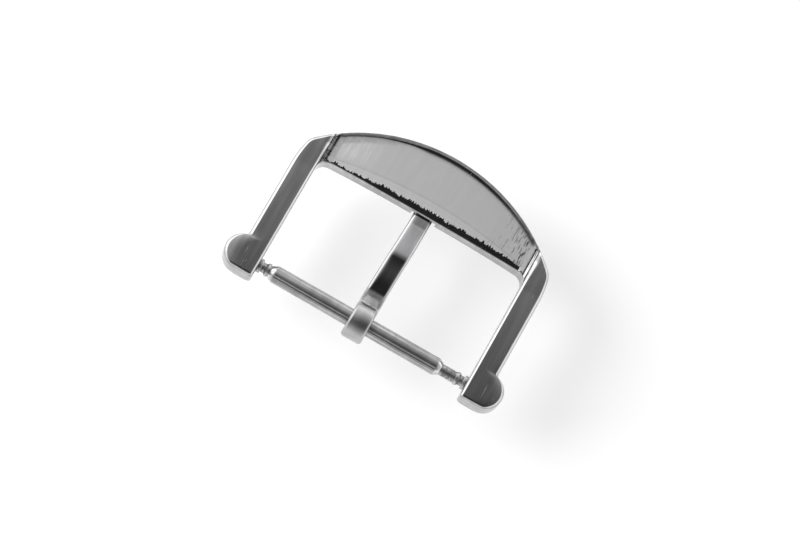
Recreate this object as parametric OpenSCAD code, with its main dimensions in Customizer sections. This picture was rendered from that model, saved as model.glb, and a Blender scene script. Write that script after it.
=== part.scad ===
// Watch strap tang buckle for a 20 mm strap: a domed crossbar and two arms in one piece,
// a rolled tang, and a double-flange spring bar that holds the tang between the lugs.
// It lies on its front: +Z is its back, the side that faces the wrist, +X runs along the
// bar and +Y from the bar to the crossbar. The origin is the middle of the bar's axis.

/* [Strap opening] */
// Clear width between the arms, the strap's nominal width
clear_w = 20; // [18:0.5:24]
// Distance from the bar's axis to the middle of the crossbar's inner wall
opening_l = 10.6; // [9.5:0.01:13]
// How far the crossbar's inner wall bows away from the bar
opening_bow = 0.07; // [0:0.01:0.4]
// Radius of the opening's two corners at the crossbar
opening_r = 0.9; // [0.5:0.1:1.5]

/* [Arms] */
// Width of each arm, seen from the back
arm_w = 2.02; // [1.6:0.02:3]
// Thickness of the arms and lugs
arm_t = 2.6; // [2.3:0.1:3.4]
// Rounding of the arms' inner edges on the back
back_inner_r = 0.15; // [0.1:0.01:0.3]
// Rounding of the arms' outer edges on the back
back_outer_r = 0.26; // [0.1:0.01:0.35]
// Rounding of the arms' edges on the front
front_edge_r = 0.42; // [0.2:0.02:0.6]

/* [Lugs] */
// Radius of the round swelling of each lug
lug_r = 1.55; // [1.35:0.05:2]
// How far the lug's centre lies outside the arm's inner face
lug_out = 1.75; // [1.5:0.05:2.2]
// How far the lug's centre lies from the bar, towards the crossbar
lug_back = 0.08; // [0:0.02:0.2]
// Radius of the hollow between lug and arm
neck_r = 0.3; // [0.2:0.05:0.5]
// Rounding of the lug's free end
lug_end_r = 0.26; // [0.1:0.02:0.4]
// Diameter of the blind hole in each lug
lug_bore_d = 0.86; // [0.84:0.01:0.9]
// Depth of the blind hole in each lug
lug_bore_l = 0.85; // [0.75:0.05:1.1]

/* [Crossbar] */
// Depth of the crossbar at its middle
crossbar_l = 5.83; // [4.8:0.01:7]
// Radius of the crossbar's outer curve
crown_r = 16.4; // [15.5:0.1:20]
// Radius of the frame's two outer corners
corner_r = 1.4; // [1:0.1:2.4]
// Radius of the easing between each corner and its arm
ease_r = 9; // [5:0.5:12]
// Angle that the easing turns through
ease_a = 14; // [6:1:18]
// How far the crossbar's back lies below the arms' backs
rim_drop = 0.25; // [0.1:0.05:0.4]
// Depth of the shallow recess in the crossbar's back
recess_t = 0.25; // [0.15:0.01:0.4]
// Width of the sloping facet along the opening
facet_w = 0.38; // [0.2:0.02:0.5]
// Slope of that facet
facet_a = 15; // [5:1:25]
// Distance from the opening to the faint fold in the recess's floor
fold_l = 1.78; // [1.2:0.02:2.2]
// Slope of the floor between the fold and the hollow
floor_a = 2.2; // [1:0.2:4]
// How much steeper the floor is between facet and fold
fold_a = 1.6; // [0.4:0.2:3]
// Width of the hollow in which the floor rises to the outer rim
hollow_w = 0.62; // [0.4:0.02:0.9]
// Width of the rim along the outer curve
outer_rim_w = 0.16; // [0.12:0.01:0.4]
// Width of the slope from each arm down into the recess
cove_w = 0.6; // [0.4:0.02:1]
// Height of the crossbar's wall at the middle of the opening
inner_wall_h = 1.5; // [1.1:0.05:1.6]
// Height of the crossbar's outer wall at its middle
outer_wall_h = 1.5; // [1.2:0.05:1.8]
// Thickness of the crossbar at the top of its dome
dome_t = 2.7; // [2.3:0.05:3]
// Rounding of the crossbar's rim
rim_r = 0.06; // [0.04:0.01:0.1]
// Width of the groove that takes the tang
groove_w = 2.3; // [2.1:0.05:2.6]
// Slope of the groove's floor
groove_a = 12; // [8:1:15]

/* [Tang] */
// Width of the tang where it is rolled round the bar
tang_w = 1.9; // [1.6:0.1:2.4]
// Width of the tang where it meets the crossbar
tang_neck_w = 1.78; // [1.4:0.02:2]
// Width of the tang next to its tip
tang_tip_w = 1.6; // [1.1:0.1:1.8]
// Thickness of the strip that the tang is bent from
tang_t = 0.84; // [0.7:0.02:0.95]
// Height of the tang's hump above the bar's axis, at its back face
hump_h = 0.95; // [0.7:0.05:1.2]
// Distance of the hump from the bar's axis
hump_y = 6.6; // [5.5:0.1:7]
// Height of the tang's back face above the bar's axis at the crossbar's wall
seat_h = 0.42; // [0.3:0.02:0.55]
// Play between the tang's back face and the groove's floor
seat_play = 0.03; // [0.02:0.01:0.08]
// How far the tang reaches past the crossbar's inner wall
tang_reach = 4.4; // [3.4:0.1:4.8]
// Rounding of the tang's tip
tang_tip_r = 0.62; // [0.4:0.02:0.75]
// Flat on the tang's four long edges
tang_edge = 0.16; // [0.08:0.02:0.22]
// How far the tang sits to the left of the middle
tang_left = 0.16; // [0:0.02:0.2]

/* [Spring bar] */
// Outer diameter of the spring bar's tube
tube_d = 1.54; // [1.5:0.02:1.6]
// Bore of the tube
tube_bore_d = 1.2; // [1.18:0.02:1.26]
// Length of each rolled-in end of the tube
nose_l = 0.5; // [0.4:0.05:0.8]
// Outer diameter of the rolled-in ends' mouths
nose_d = 1.2; // [1.16:0.02:1.26]
// Diameter of the plungers' shafts
shaft_d = 1.0; // [0.9:0.02:1.02]
// Diameter of the flange next to the lug
outer_flange_d = 1.26; // [1.2:0.02:1.5]
// Diameter of the flange next to the tube
inner_flange_d = 1.18; // [1.1:0.02:1.3]
// Thickness of each flange
flange_t = 0.27; // [0.2:0.01:0.35]
// Diameter of the groove between the flanges
waist_d = 0.88; // [0.8:0.02:0.94]
// Length of the groove between the flanges
waist_l = 0.45; // [0.35:0.05:0.6]
// Diameter of the tips that sit in the lugs
tip_d = 0.8; // [0.7:0.02:0.82]
// Length of the tips
tip_l = 0.66; // [0.6:0.02:0.68]
// Play between each plunger's outer flange and its lug
flange_play = 0.02; // [0.01:0.01:0.03]
// Length of shaft that shows at the left end of the tube
left_gap = 0.08; // [0.05:0.01:0.2]
// Length of shaft that shows at the right end of the tube
right_gap = 1.43; // [1.41:0.01:1.8]
// Length of each plunger's shaft between inner flange and head
shaft_l = 2.3; // [2.2:0.05:2.8]
// Length of each plunger's head, inside the tube
head_l = 1.2; // [0.8:0.1:1.6]
// Radial play of a shaft or head in the tube
running_play = 0.02; // [0.02:0.005:0.04]
// Radial play between the tang's roll and the tube
roll_play = 0.04; // [0.02:0.01:0.08]

/* [Return spring] */
// Wire diameter of the return spring
wire_d = 0.2; // [0.16:0.02:0.22]
// Curls of the return spring
curls = 16; // [10:1:16]

/* [Hidden] */
$fn = 64;
steel = [0.72, 0.72, 0.73];
satin = [0.62, 0.62, 0.63];

// Steps of a rounded edge, of the dome across the crossbar and of the stretches of the frame
edge_steps = 3;
dome_steps = 7;
lug_steps = 9;
neck_steps = 3;
ease_steps = 3;
corner_steps = 5;
shoulder_steps = 3;
opening_corner_steps = 9;
crossbar_steps = 10;

// Share of the fall from arm to recess at each share of the cove's width
cove_steps = [[0, 0], [0.24, 0.3], [0.58, 0.38], [0.9, 1], [1, 1]];
// Where the hollow steepens, as shares of its width and of its rise
hollow_at = 0.75;
hollow_rise = 0.4;
// Power by which the crossbar's front nears the arms' front along its length
deepen = 3;
// Length of inner wall over which the frame turns its corner
turn_l = 0.3;
// Rounding of the crossbar's edges on the front
crossbar_front_r = 0.18;
// Overlap of joined or cut shapes
lap = 0.01;

clear_half = clear_w / 2;
arm_out = clear_half + arm_w;
half_t = arm_t / 2;
rim_z = half_t - rim_drop;
crown_y = opening_l + crossbar_l;
crown_c = crown_y - crown_r;
lug_x = clear_half + lug_out;
lug_end_y = lug_back - lug_r;

// Y of the outer curve above x
function crown_at(x) = crown_c + sqrt(crown_r * crown_r - x * x);

// Centres of the corner and of its easing, and where the corner meets the outer curve
ease_x = arm_out - ease_r;
corner_x = ease_x + (ease_r - corner_r) * cos(ease_a);
corner_y = crown_c + sqrt(pow(crown_r - corner_r, 2) - corner_x * corner_x);
ease_y = corner_y - (ease_r - corner_r) * sin(ease_a);
corner_to = atan2(corner_y - crown_c, corner_x);

// Centre of the hollow between lug and arm, and where it meets the lug
neck_x = arm_out + neck_r;
neck_y = lug_back + sqrt(pow(lug_r + neck_r, 2) - pow(neck_x - lug_x, 2));
neck_start_y = lug_back + (neck_y - lug_back) * lug_r / (lug_r + neck_r);

// X of the outer edge of lug and arm at y
function side_x(y) =
    y < neck_start_y ? lug_x + sqrt(max(0, lug_r * lug_r - pow(y - lug_back, 2)))
    : y < neck_y ? neck_x - sqrt(max(0, neck_r * neck_r - pow(neck_y - y, 2)))
    : y < ease_y ? arm_out
    : ease_x + sqrt(ease_r * ease_r - pow(y - ease_y, 2));

// How much a round of radius r has drawn in at depth d from its end
function draw_in(r, d) = d >= r ? 0 : r - sqrt(max(0, r * r - pow(r - d, 2)));

// Y of the crossbar's inner wall at x, and where the arm's inner wall ends
straight_from = clear_half - opening_r;
wall_foot_y = opening_l - opening_bow - opening_r;
function wall_y(x) =
    x <= straight_from ? opening_l - opening_bow * pow(x / straight_from, 2)
    : wall_foot_y + sqrt(max(0, pow(opening_r, 2) - pow(x - straight_from, 2)));

// A station is [inner point, outer point, share of the fall from arm to recess, z of the
// inner wall's foot, z of the outer wall's foot, z of the front, front edge radius, shrink]
function arm_station(inner, outer, shrink = 0) =
    [inner, outer, 0, -half_t, -half_t, -half_t, front_edge_r, shrink];
function lug_station(y, shrink = 0) =
    arm_station([clear_half + draw_in(lug_end_r, y - lug_end_y), y], [side_x(y), y], shrink);
function bar_station(x) =
    let (near = pow(min(1, x / clear_half), deepen))
    [[x, wall_y(x)], [x, crown_at(x)], lookup((clear_half - x) / cove_w, cove_steps),
     rim_z - inner_wall_h - (half_t + rim_z - inner_wall_h) * near,
     rim_z - outer_wall_h - (half_t + rim_z - outer_wall_h) * near,
     rim_z - dome_t - (half_t + rim_z - dome_t) * near,
     front_edge_r + (crossbar_front_r - front_edge_r) * (1 - near), 0];

// Stations of the right half, from the lug's end round to the crossbar's middle
end_stations = [for (i = [0 : edge_steps - 1])
    let (b = 90 * i / edge_steps)
    lug_station(lug_end_y + lug_end_r * (1 - cos(b)), lug_end_r * (1 - sin(b)))];
lug_stations = [for (i = [0 : lug_steps])
    let (from = lug_end_y + lug_end_r, s = (1 - cos(180 * i / lug_steps)) / 2)
    lug_station(from + (neck_start_y - from) * s)];
neck_stations = [for (i = [1 : neck_steps])
    lug_station(neck_start_y + (neck_y - neck_start_y) * i / neck_steps)];

// Outer points of the frame's corner, from the arm to the height of the arm's inner wall
turn_y = wall_foot_y - turn_l;
ease_from = asin((turn_y - ease_y) / ease_r);
crown_to = acos(clear_half / crown_r);
corner_points = concat(
    [for (i = [0 : ease_steps - 1])
        let (a = ease_from + (ease_a - ease_from) * i / ease_steps)
        [ease_x + ease_r * cos(a), ease_y + ease_r * sin(a)]],
    [for (i = [0 : corner_steps - 1])
        let (a = ease_a + (corner_to - ease_a) * i / corner_steps)
        [corner_x + corner_r * cos(a), corner_y + corner_r * sin(a)]],
    [for (i = [0 : shoulder_steps])
        let (a = corner_to + (crown_to - corner_to) * i / shoulder_steps)
        [crown_r * cos(a), crown_c + crown_r * sin(a)]]
);
turn_last = len(corner_points) - 1;
turn_stations = [for (i = [0 : turn_last])
    arm_station([clear_half, turn_y + turn_l * i / turn_last], corner_points[i])];
opening_corner_stations = [for (i = [1 : opening_corner_steps])
    bar_station(straight_from + opening_r * cos(90 * i / opening_corner_steps))];
crossbar_stations = [for (i = [1 : crossbar_steps])
    bar_station(straight_from * (1 - i / crossbar_steps))];
half_frame = concat(end_stations, lug_stations, neck_stations, turn_stations,
                    opening_corner_stations, crossbar_stations);

// Points of a quarter round about [t, z], turned from angle a to angle b
function quarter(t, z, r, a, b) = [for (i = [0 : edge_steps])
    let (g = a + (b - a) * i / edge_steps) [t + r * cos(g), z + r * sin(g)]];

// Back of an arm of width w, as [distance from the inner face, z]
function arm_back(w, z) =
    concat(
        quarter(back_inner_r, z - back_inner_r, back_inner_r, 180, 90),
        [for (i = [1 : 5]) [back_inner_r + (w - back_inner_r - back_outer_r) * i / 6, z]],
        quarter(w - back_outer_r, z - back_outer_r, back_outer_r, 90, 0)
    );

// Back of the crossbar: facet, recess floor with its fold, hollow and outer rim
function recess_back(w) =
    let (
        floor_z = rim_z - recess_t, rim_in = w - outer_rim_w,
        fold = min(fold_l, 0.6 * (rim_in - hollow_w)),
        fold_z = floor_z + (rim_in - hollow_w - fold) * tan(floor_a),
        facet_z = fold_z + (fold - facet_w) * tan(floor_a + fold_a),
        edge_z = facet_z - (facet_w - rim_r) * tan(facet_a)
    )
    concat(
        quarter(rim_r, edge_z - rim_r, rim_r, 180, 90),
        [[facet_w, facet_z], [fold, fold_z], [rim_in - hollow_w, floor_z],
         [rim_in - hollow_w * (1 - hollow_at), floor_z + recess_t * hollow_rise], [rim_in, rim_z]],
        quarter(w - rim_r, rim_z - rim_r, rim_r, 90, 0)
    );

// Outline of the frame at a station, as [distance from its inner point, z]
function outline(s) =
    let (
        w = norm(s[1] - s[0]), fall = s[2], shrink = s[7], rf = s[6],
        plain = arm_back(w, half_t - shrink), recess = recess_back(w),
        zi = s[3] + shrink, zo = s[4] + shrink,
        bulge = (zi + zo) / 2 - (s[5] + shrink)
    )
    concat(
        [for (i = [0 : len(plain) - 1]) plain[i] * (1 - fall) + recess[i] * fall],
        quarter(w - rf, zo + rf, rf, 0, -90),
        [for (i = [1 : dome_steps])
            let (u = 1 - i / (dome_steps + 1), m = 2 * u - 1)
            [rf + (w - 2 * rf) * u, zi + (zo - zi) * u - bulge * (1 - m * m)]],
        quarter(rf, zi + rf, rf, -90, -180)
    );

// The outline's points in space, on the right side or mirrored to the left
function ring(s, side) =
    let (along = (s[1] - s[0]) / norm(s[1] - s[0]))
    [for (p = outline(s)) [side * (s[0][0] + along[0] * p[0]), s[0][1] + along[1] * p[0], p[1]]];

last = len(half_frame) - 1;
frame_rings = concat(
    [for (s = half_frame) ring(s, 1)],
    [for (i = [1 : last]) ring(half_frame[last - i], -1)]
);

// Joins a list of rings of equal length into a closed solid
module skin(rings) {
    n = len(rings[0]);
    m = len(rings);
    polyhedron(
        points = [for (r = rings) for (p = r) p],
        faces = concat(
            [[for (i = [0 : n - 1]) i]],
            [for (j = [0 : m - 2]) for (i = [0 : n - 1])
                let (k = (i + 1) % n)
                each [[j * n + i, (j + 1) * n + i, (j + 1) * n + k],
                      [j * n + i, (j + 1) * n + k, j * n + k]]],
            [[for (i = [n - 1 : -1 : 0]) (m - 1) * n + i]]
        ),
        convexity = 10
    );
}

// Turns a solid of revolution from the Z axis to the bar's axis
module along_bar() rotate([0, 90, 0]) children();

// The cut that takes the tang in the crossbar's front
module tang_groove() {
    from_y = opening_l - 1;
    reach = crossbar_l + 2;
    floor_z = seat_h + seat_play + tan(groove_a);
    translate([-groove_w / 2, from_y, 0]) rotate([90, 0, 90]) linear_extrude(groove_w)
        polygon([[0, floor_z], [0, -arm_t], [reach, -arm_t],
                 [reach, floor_z - reach * tan(groove_a)]]);
}

// Crossbar, arms and lugs, with the blind holes for the spring bar's tips
module frame() color(steel) difference() {
    skin(frame_rings);
    tang_groove();
    for (side = [-1, 1]) translate([side * (clear_half + lug_bore_l / 2 - lap), 0, 0])
        along_bar() cylinder(d = lug_bore_d, h = lug_bore_l + 2 * lap, center = true);
}

// The tang's back face, from under the bar over the hump to the tip
tube_r = tube_d / 2;
roll_r = tube_r + roll_play;
roll_out_r = roll_r + tang_t;
// Where the tang leaves the roll, the slope before its hump and the slope behind it
rise_y = 0.85;
climb_a = 8;
fall_a = atan((hump_h - seat_h) / (opening_l - hump_y));
// Bends between roll and hump: shares of the way and of the rise there, and the slope
bends = [[0.174, 0.193, 39], [0.304, 0.489, 27], [0.409, 0.631, 20]];
bend_steps = 4;
hump_steps = 6;
// Half lengths of the bends at the hump and at the crossbar
hump_bend = 0.5;
seat_bend = 0.3;

// Point at share s of a curve that leaves p at slope a and reaches q at slope b
function curve(p, a, q, b, s) =
    let (
        reach = (q[0] - p[0]) / 3, t = 1 - s,
        p1 = p + [reach, reach * tan(a)], q1 = q - [reach, reach * tan(b)]
    )
    p * t * t * t + p1 * 3 * t * t * s + q1 * 3 * t * s * s + q * s * s * s;

// Knots of the tang's back face, as [point, slope], and the line through them
roll_foot = [rise_y, -roll_r];
hump_way = [hump_y - rise_y, hump_h + roll_r];
knots = concat(
    [[roll_foot, 0]],
    [for (b = bends) [roll_foot + [b[0] * hump_way[0], b[1] * hump_way[1]], b[2]]],
    [[[hump_y - hump_bend, hump_h - hump_bend * tan(climb_a)], climb_a],
     [[hump_y + hump_bend, hump_h - hump_bend * tan(fall_a)], -fall_a],
     [[opening_l - seat_bend, seat_h + seat_bend * tan(fall_a)], -fall_a],
     [[opening_l + seat_bend, seat_h - seat_bend * tan(groove_a)], -groove_a]]
);
tip_from = [opening_l + tang_reach - tang_tip_r, seat_h - (tang_reach - tang_tip_r) * tan(groove_a)];
tang_line = concat(
    [[0, -roll_r], roll_foot],
    [for (i = [1 : len(knots) - 1])
        let (p = knots[i - 1], q = knots[i], n = i > 3 && i < 6 ? hump_steps : bend_steps)
        for (j = [1 : n]) curve(p[0], p[1], q[0], q[1], j / n)],
    [for (i = [0 : hump_steps])
        tip_from + [1, -tan(groove_a)] * tang_tip_r * sin(90 * i / hump_steps)]
);

// Half the tang's width and its thickness at the distance y from the bar
function tang_half(y) =
    y < rise_y ? tang_w / 2
    : y < opening_l ? (tang_w + (tang_neck_w - tang_w) * (y - rise_y) / (opening_l - rise_y)) / 2
    : (tang_neck_w + (tang_tip_w - tang_neck_w) * (y - opening_l) / tang_reach) / 2
        - draw_in(tang_tip_r, opening_l + tang_reach - y);
function tang_deep(y) = tang_t - lap - draw_in(tang_tip_r, opening_l + tang_reach - y) / 2;

// Section of the tang at point i of its line
function tang_ring(i) =
    let (
        p = tang_line[i], a = tang_line[max(0, i - 1)], b = tang_line[min(i + 1, len(tang_line) - 1)],
        dir = i == 0 ? [1, 0] : (b - a) / norm(b - a), up = [-dir[1], dir[0]],
        w = tang_half(p[0]), t = tang_deep(p[0]), e = min(tang_edge, w / 2)
    )
    [for (c = [[e - w, 0], [w - e, 0], [w, -e], [w, e - t], [w - e, -t], [e - w, -t], [-w, e - t], [-w, -e]])
        [c[0] - tang_left, p[0] + up[0] * c[1], p[1] + up[1] * c[1]]];

// Tang: one strip, rolled round the bar and bent over its hump to the crossbar
module tang() color(steel) difference() {
    union() {
        translate([-tang_left, 0, 0]) along_bar() rotate_extrude()
            polygon([[roll_r / 2, -tang_w / 2], [roll_out_r - tang_edge, -tang_w / 2],
                     [roll_out_r, tang_edge - tang_w / 2], [roll_out_r, tang_w / 2 - tang_edge],
                     [roll_out_r - tang_edge, tang_w / 2], [roll_r / 2, tang_w / 2]]);
        skin([for (i = [0 : len(tang_line) - 1]) tang_ring(i)]);
    }
    translate([-tang_left, 0, 0]) along_bar() cylinder(r = roll_r, h = tang_w + 1, center = true);
}

// X of the face of each plunger's inner flange, and of the tube's ends
flange_x = clear_half - flange_play - 2 * flange_t - waist_l;
tube_left = -flange_x + left_gap;
tube_right = flange_x - right_gap;
head_x = flange_x - shaft_l;

// Tube of the spring bar, with both ends rolled in to hold the plungers' heads
module tube() {
    tube_l = tube_right - tube_left;
    mouth_r = shaft_d / 2 + running_play;
    nose_mid_r = tube_r - (tube_r - nose_d / 2) * 0.35;
    color(satin) translate([tube_left, 0, 0]) along_bar() difference() {
        rotate_extrude()
            polygon([[0, 0], [nose_d / 2, 0], [nose_mid_r, nose_l * 0.45], [tube_r, nose_l],
                     [tube_r, tube_l - nose_l], [nose_mid_r, tube_l - nose_l * 0.45],
                     [nose_d / 2, tube_l], [0, tube_l]]);
        translate([0, 0, nose_l]) cylinder(d = tube_bore_d, h = tube_l - 2 * nose_l);
        translate([0, 0, -1]) cylinder(r = mouth_r, h = tube_l + 2);
    }
}

// One plunger with its head towards the middle: head, shaft, two flanges and tip
module plunger() {
    head_r = tube_bore_d / 2 - running_play;
    tip_r = tip_d / 2;
    tip_end = clear_half - flange_play + tip_l;
    outer_x = clear_half - flange_play - flange_t;
    color(steel) along_bar() rotate_extrude()
        polygon([[0, head_x - head_l], [head_r, head_x - head_l], [head_r, head_x],
                 [shaft_d / 2, head_x], [shaft_d / 2, flange_x],
                 [inner_flange_d / 2, flange_x], [inner_flange_d / 2, flange_x + flange_t],
                 [waist_d / 2, flange_x + flange_t + 0.12], [waist_d / 2, outer_x],
                 [outer_flange_d / 2, outer_x], [outer_flange_d / 2, outer_x + flange_t],
                 [tip_r, outer_x + flange_t], [tip_r, tip_end - 0.15],
                 [tip_r - 0.15, tip_end], [0, tip_end]]);
}

module right_plunger() plunger();

module left_plunger() mirror([1, 0, 0]) plunger();

// Return spring between the plungers' heads, inside the tube
spring_play = 0.03;
spring_end = head_x - head_l - spring_play - wire_d / 2;
spring_r = tube_bore_d / 2 - wire_d / 2 - 0.06;
wire_sides = 6;
curl_steps = 8;
spring_steps = curls * curl_steps;
pitch = 2 * spring_end / curls;
lead = atan(pitch / (2 * PI * spring_r));
function spring_ring(i) =
    let (
        a = 360 * i / curl_steps, x = -spring_end + 2 * spring_end * i / spring_steps,
        out = [0, cos(a), sin(a)], across = [cos(lead), sin(lead) * sin(a), -sin(lead) * cos(a)]
    )
    [for (k = [0 : wire_sides - 1])
        let (g = 360 * k / wire_sides)
        [x, 0, 0] + out * (spring_r + wire_d / 2 * cos(g)) + across * (wire_d / 2 * sin(g))];
spring_rings = [for (i = [0 : spring_steps]) spring_ring(i)];

// Least distance between the wire's points of two neighbouring curls
curl_gap = min([for (i = [0 : curl_steps]) for (p = spring_rings[i])
    for (j = [i + curl_steps - 2 : i + curl_steps + 2]) for (q = spring_rings[j]) norm(p - q)]);
echo(curl_gap = curl_gap);

module return_spring() color(satin) skin(spring_rings);

frame();
tang();
tube();
left_plunger();
right_plunger();
return_spring();
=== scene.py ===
"""Scene of a watch strap tang buckle: frame, tang and double-flange spring bar.

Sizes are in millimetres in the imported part's own frame: +X runs along the spring bar, +Y
from the bar to the crossbar and +Z out of the buckle's back. Meshes are scaled to metres
when they are made, and the places in finishes are in metres.
"""

from __future__ import annotations

import logging
import math
from dataclasses import dataclass
from enum import Enum

import bpy
import numpy as np
from mathutils import Matrix, Vector

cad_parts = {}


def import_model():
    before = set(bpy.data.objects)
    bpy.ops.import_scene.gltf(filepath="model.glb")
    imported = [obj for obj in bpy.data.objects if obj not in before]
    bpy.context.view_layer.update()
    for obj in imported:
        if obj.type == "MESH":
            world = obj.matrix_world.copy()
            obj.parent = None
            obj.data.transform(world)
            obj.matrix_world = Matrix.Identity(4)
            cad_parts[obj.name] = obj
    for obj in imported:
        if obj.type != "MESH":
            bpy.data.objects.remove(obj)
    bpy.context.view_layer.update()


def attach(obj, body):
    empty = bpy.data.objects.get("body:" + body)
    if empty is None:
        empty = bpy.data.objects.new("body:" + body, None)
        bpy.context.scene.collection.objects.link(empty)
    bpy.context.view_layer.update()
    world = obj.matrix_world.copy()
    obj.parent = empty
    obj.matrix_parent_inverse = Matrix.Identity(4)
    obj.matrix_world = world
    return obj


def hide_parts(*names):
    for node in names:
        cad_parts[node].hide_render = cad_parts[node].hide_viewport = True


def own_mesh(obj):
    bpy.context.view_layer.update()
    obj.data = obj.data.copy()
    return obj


LOG = logging.getLogger("buckle")
MM = 0.001
# Power of the curve of a softened bevel, 1 for a flat one and 2 for a round
BEVEL_POWER = 1.3
Array = np.ndarray
Piece = bpy.types.Object
Socket = bpy.types.NodeSocket


class Side(Enum):
    """Side of the buckle's middle plane, as the sign of X."""

    LEFT = -1
    RIGHT = 1

    @property
    def flip(self) -> Array:
        """Factors that take a point (x, other) from the right to this side."""
        return np.array([self.value, 1.0])


class Solid(Enum):
    """How other solids change a piece."""

    CUT = "DIFFERENCE"
    ADD = "UNION"


# Surfaces


def pairs(t: Array, z: Array) -> Array:
    """Puts two coordinates together as points (t, z)."""
    return np.stack([t, z], axis=-1)


def spread(start: Array, reach: Array, share: Array) -> Array:
    """Start plus reach times each share, one row per station."""
    return start[:, None] + reach[:, None] * share


def arc_points(t: Array, z: Array, radius: Array, start: float, stop: float, count: int) -> Array:
    """Points of one circular arc per station: centre plus radius times (cos a, sin a).

    Args:
        t: Distance of each arc's centre from its station's inner point.
        z: Height of each arc's centre.
        radius: Radius of each arc.
        start: First angle in degrees.
        stop: Last angle in degrees.
        count: Points on each arc.

    Returns:
        Array of stations by points by (t, z).
    """
    angle = np.radians(np.linspace(start, stop, count))
    return pairs(spread(t, radius, np.cos(angle)), spread(z, radius, np.sin(angle)))


def line_points(t0: Array, z0: Array, t1: Array, z1: Array, count: int) -> Array:
    """Evenly spaced points strictly between two corners of each station.

    Args:
        t0: Distance of each first corner.
        z0: Height of each first corner.
        t1: Distance of each second corner.
        z1: Height of each second corner.
        count: Points between the corners.

    Returns:
        Array of stations by points by (t, z).
    """
    share = (np.arange(count) + 1.0) / (count + 1)
    return pairs(spread(t0, t1 - t0, share), spread(z0, z1 - z0, share))


def bevel_points(t: Array, top: Array, reach: Array, mirror: bool, count: int) -> Array:
    """Points of one softened bevel per station, in the order of rising t.

    Each is a quarter of the curve |t|^p + |z|^p = reach^p, with p the bevels' power.

    Args:
        t: Distance at which each bevel meets the level top.
        top: Height of each level top.
        reach: Width and height of each bevel.
        mirror: False for the inner edge, True for the outer edge.
        count: Points on each bevel.

    Returns:
        Array of stations by points by (t, z).
    """
    angle = np.linspace(0, math.pi / 2, count)
    side, rise = (f(angle) ** (2 / BEVEL_POWER) for f in (np.cos, np.sin))
    if mirror:
        return pairs(spread(t, reach, side[::-1]), spread(top - reach, reach, rise[::-1]))
    return pairs(spread(t, -reach, side), spread(top - reach, reach, rise))


def smooth_step(x: Array) -> Array:
    """Eases from 0 to 1 with level ends: 3x^2 - 2x^3, held outside the unit range."""
    x = np.clip(x, 0.0, 1.0)
    return x * x * (3 - 2 * x)


def circle(radius: float, away: Array) -> Array:
    """Half chord of a circle at each distance from its centre: sqrt(r^2 - d^2), or 0."""
    return np.sqrt(np.clip(radius * radius - away**2, 0, None))


def draw_in(radius: float, depth: Array) -> Array:
    """How much a round of the given radius has drawn in at each depth from its end."""
    return radius - circle(radius, np.clip(radius - depth, 0.0, radius))


def ring_faces(rings: int, points: int, loop: bool) -> list[tuple[int, ...]]:
    """Faces between neighbouring rings of points.

    Args:
        rings: Number of rings.
        points: Number of points on each ring.
        loop: True where the last ring joins the first, False for flat caps on both.

    Returns:
        Vertex indices of each face.
    """
    row = np.arange(rings)[:, None] * points
    following = np.roll(row, -1, axis=0)
    here = np.arange(points)
    after = (here + 1) % points
    quads = np.stack([row + here, following + here, following + after, row + after], axis=-1)
    faces = [tuple(q) for q in (quads if loop else quads[:-1]).reshape(-1, 4).tolist()]
    if not loop:
        last = (rings - 1) * points
        faces += [tuple(range(points - 1, -1, -1)), tuple(range(last, last + points))]
    return faces


def read(items: bpy.types.bpy_prop_collection, what: str, width: int, kind: type = float) -> Array:
    """Reads one property of all vertices, edges or triangles of a mesh.

    Args:
        items: The vertices, edges or triangles.
        what: Name of the property.
        width: Numbers for each item.
        kind: Type of the numbers.

    Returns:
        Array of items by numbers.
    """
    values = np.empty(len(items) * width, kind)
    items.foreach_get(what, values)
    return values.reshape(-1, width)


def add_object(name: str, data: bpy.types.ID) -> Piece:
    """Makes an object from its data and links it to the scene.

    Args:
        name: Name of the object.
        data: Its mesh, camera or lamp.

    Returns:
        The new object, at the origin.
    """
    obj = bpy.data.objects.new(name, data)
    bpy.context.scene.collection.objects.link(obj)
    return obj


def sweep(name: str, rings: Array, loop: bool = False) -> Piece:
    """Makes a smooth closed piece in metres from rings of points in millimetres.

    The faces are flipped if the signed volume, the sum of a.(b x c), is negative.

    Args:
        name: Name of the piece.
        rings: Array of rings by points by (x, y, z).
        loop: True where the last ring joins the first, False for flat caps on both.

    Returns:
        The new piece, with its faces turned outwards.
    """
    mesh = bpy.data.meshes.new(name)
    mesh.from_pydata((rings.reshape(-1, 3) * MM).tolist(), [], ring_faces(*rings.shape[:2], loop))
    mesh.validate()
    mesh.calc_loop_triangles()
    corners = read(mesh.loop_triangles, "vertices", 3, np.int32)
    a, b, c = read(mesh.vertices, "co", 3)[corners].transpose(1, 0, 2)
    if np.einsum("ij,ij->i", a, np.cross(b, c)).sum() < 0:
        mesh.flip_normals()
    mesh.shade_smooth()
    return add_object(name, mesh)


def revolve(name: str, profile: Array, steps: int, loop: bool) -> Piece:
    """Turns a profile about the bar's axis: (x, r cos a, r sin a).

    Args:
        name: Name of the piece.
        profile: Array of points by (x, radius), off the axis.
        steps: Points round the axis.
        loop: True where the profile is a closed loop, False to cap its two ends.

    Returns:
        The new piece.
    """
    angle = np.linspace(0, 2 * math.pi, steps, endpoint=False)
    x, r = profile[:, :1], profile[:, 1:]
    rings = np.stack([x + 0 * angle, r * np.cos(angle), r * np.sin(angle)], axis=-1)
    return sweep(name, rings, loop)


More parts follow.
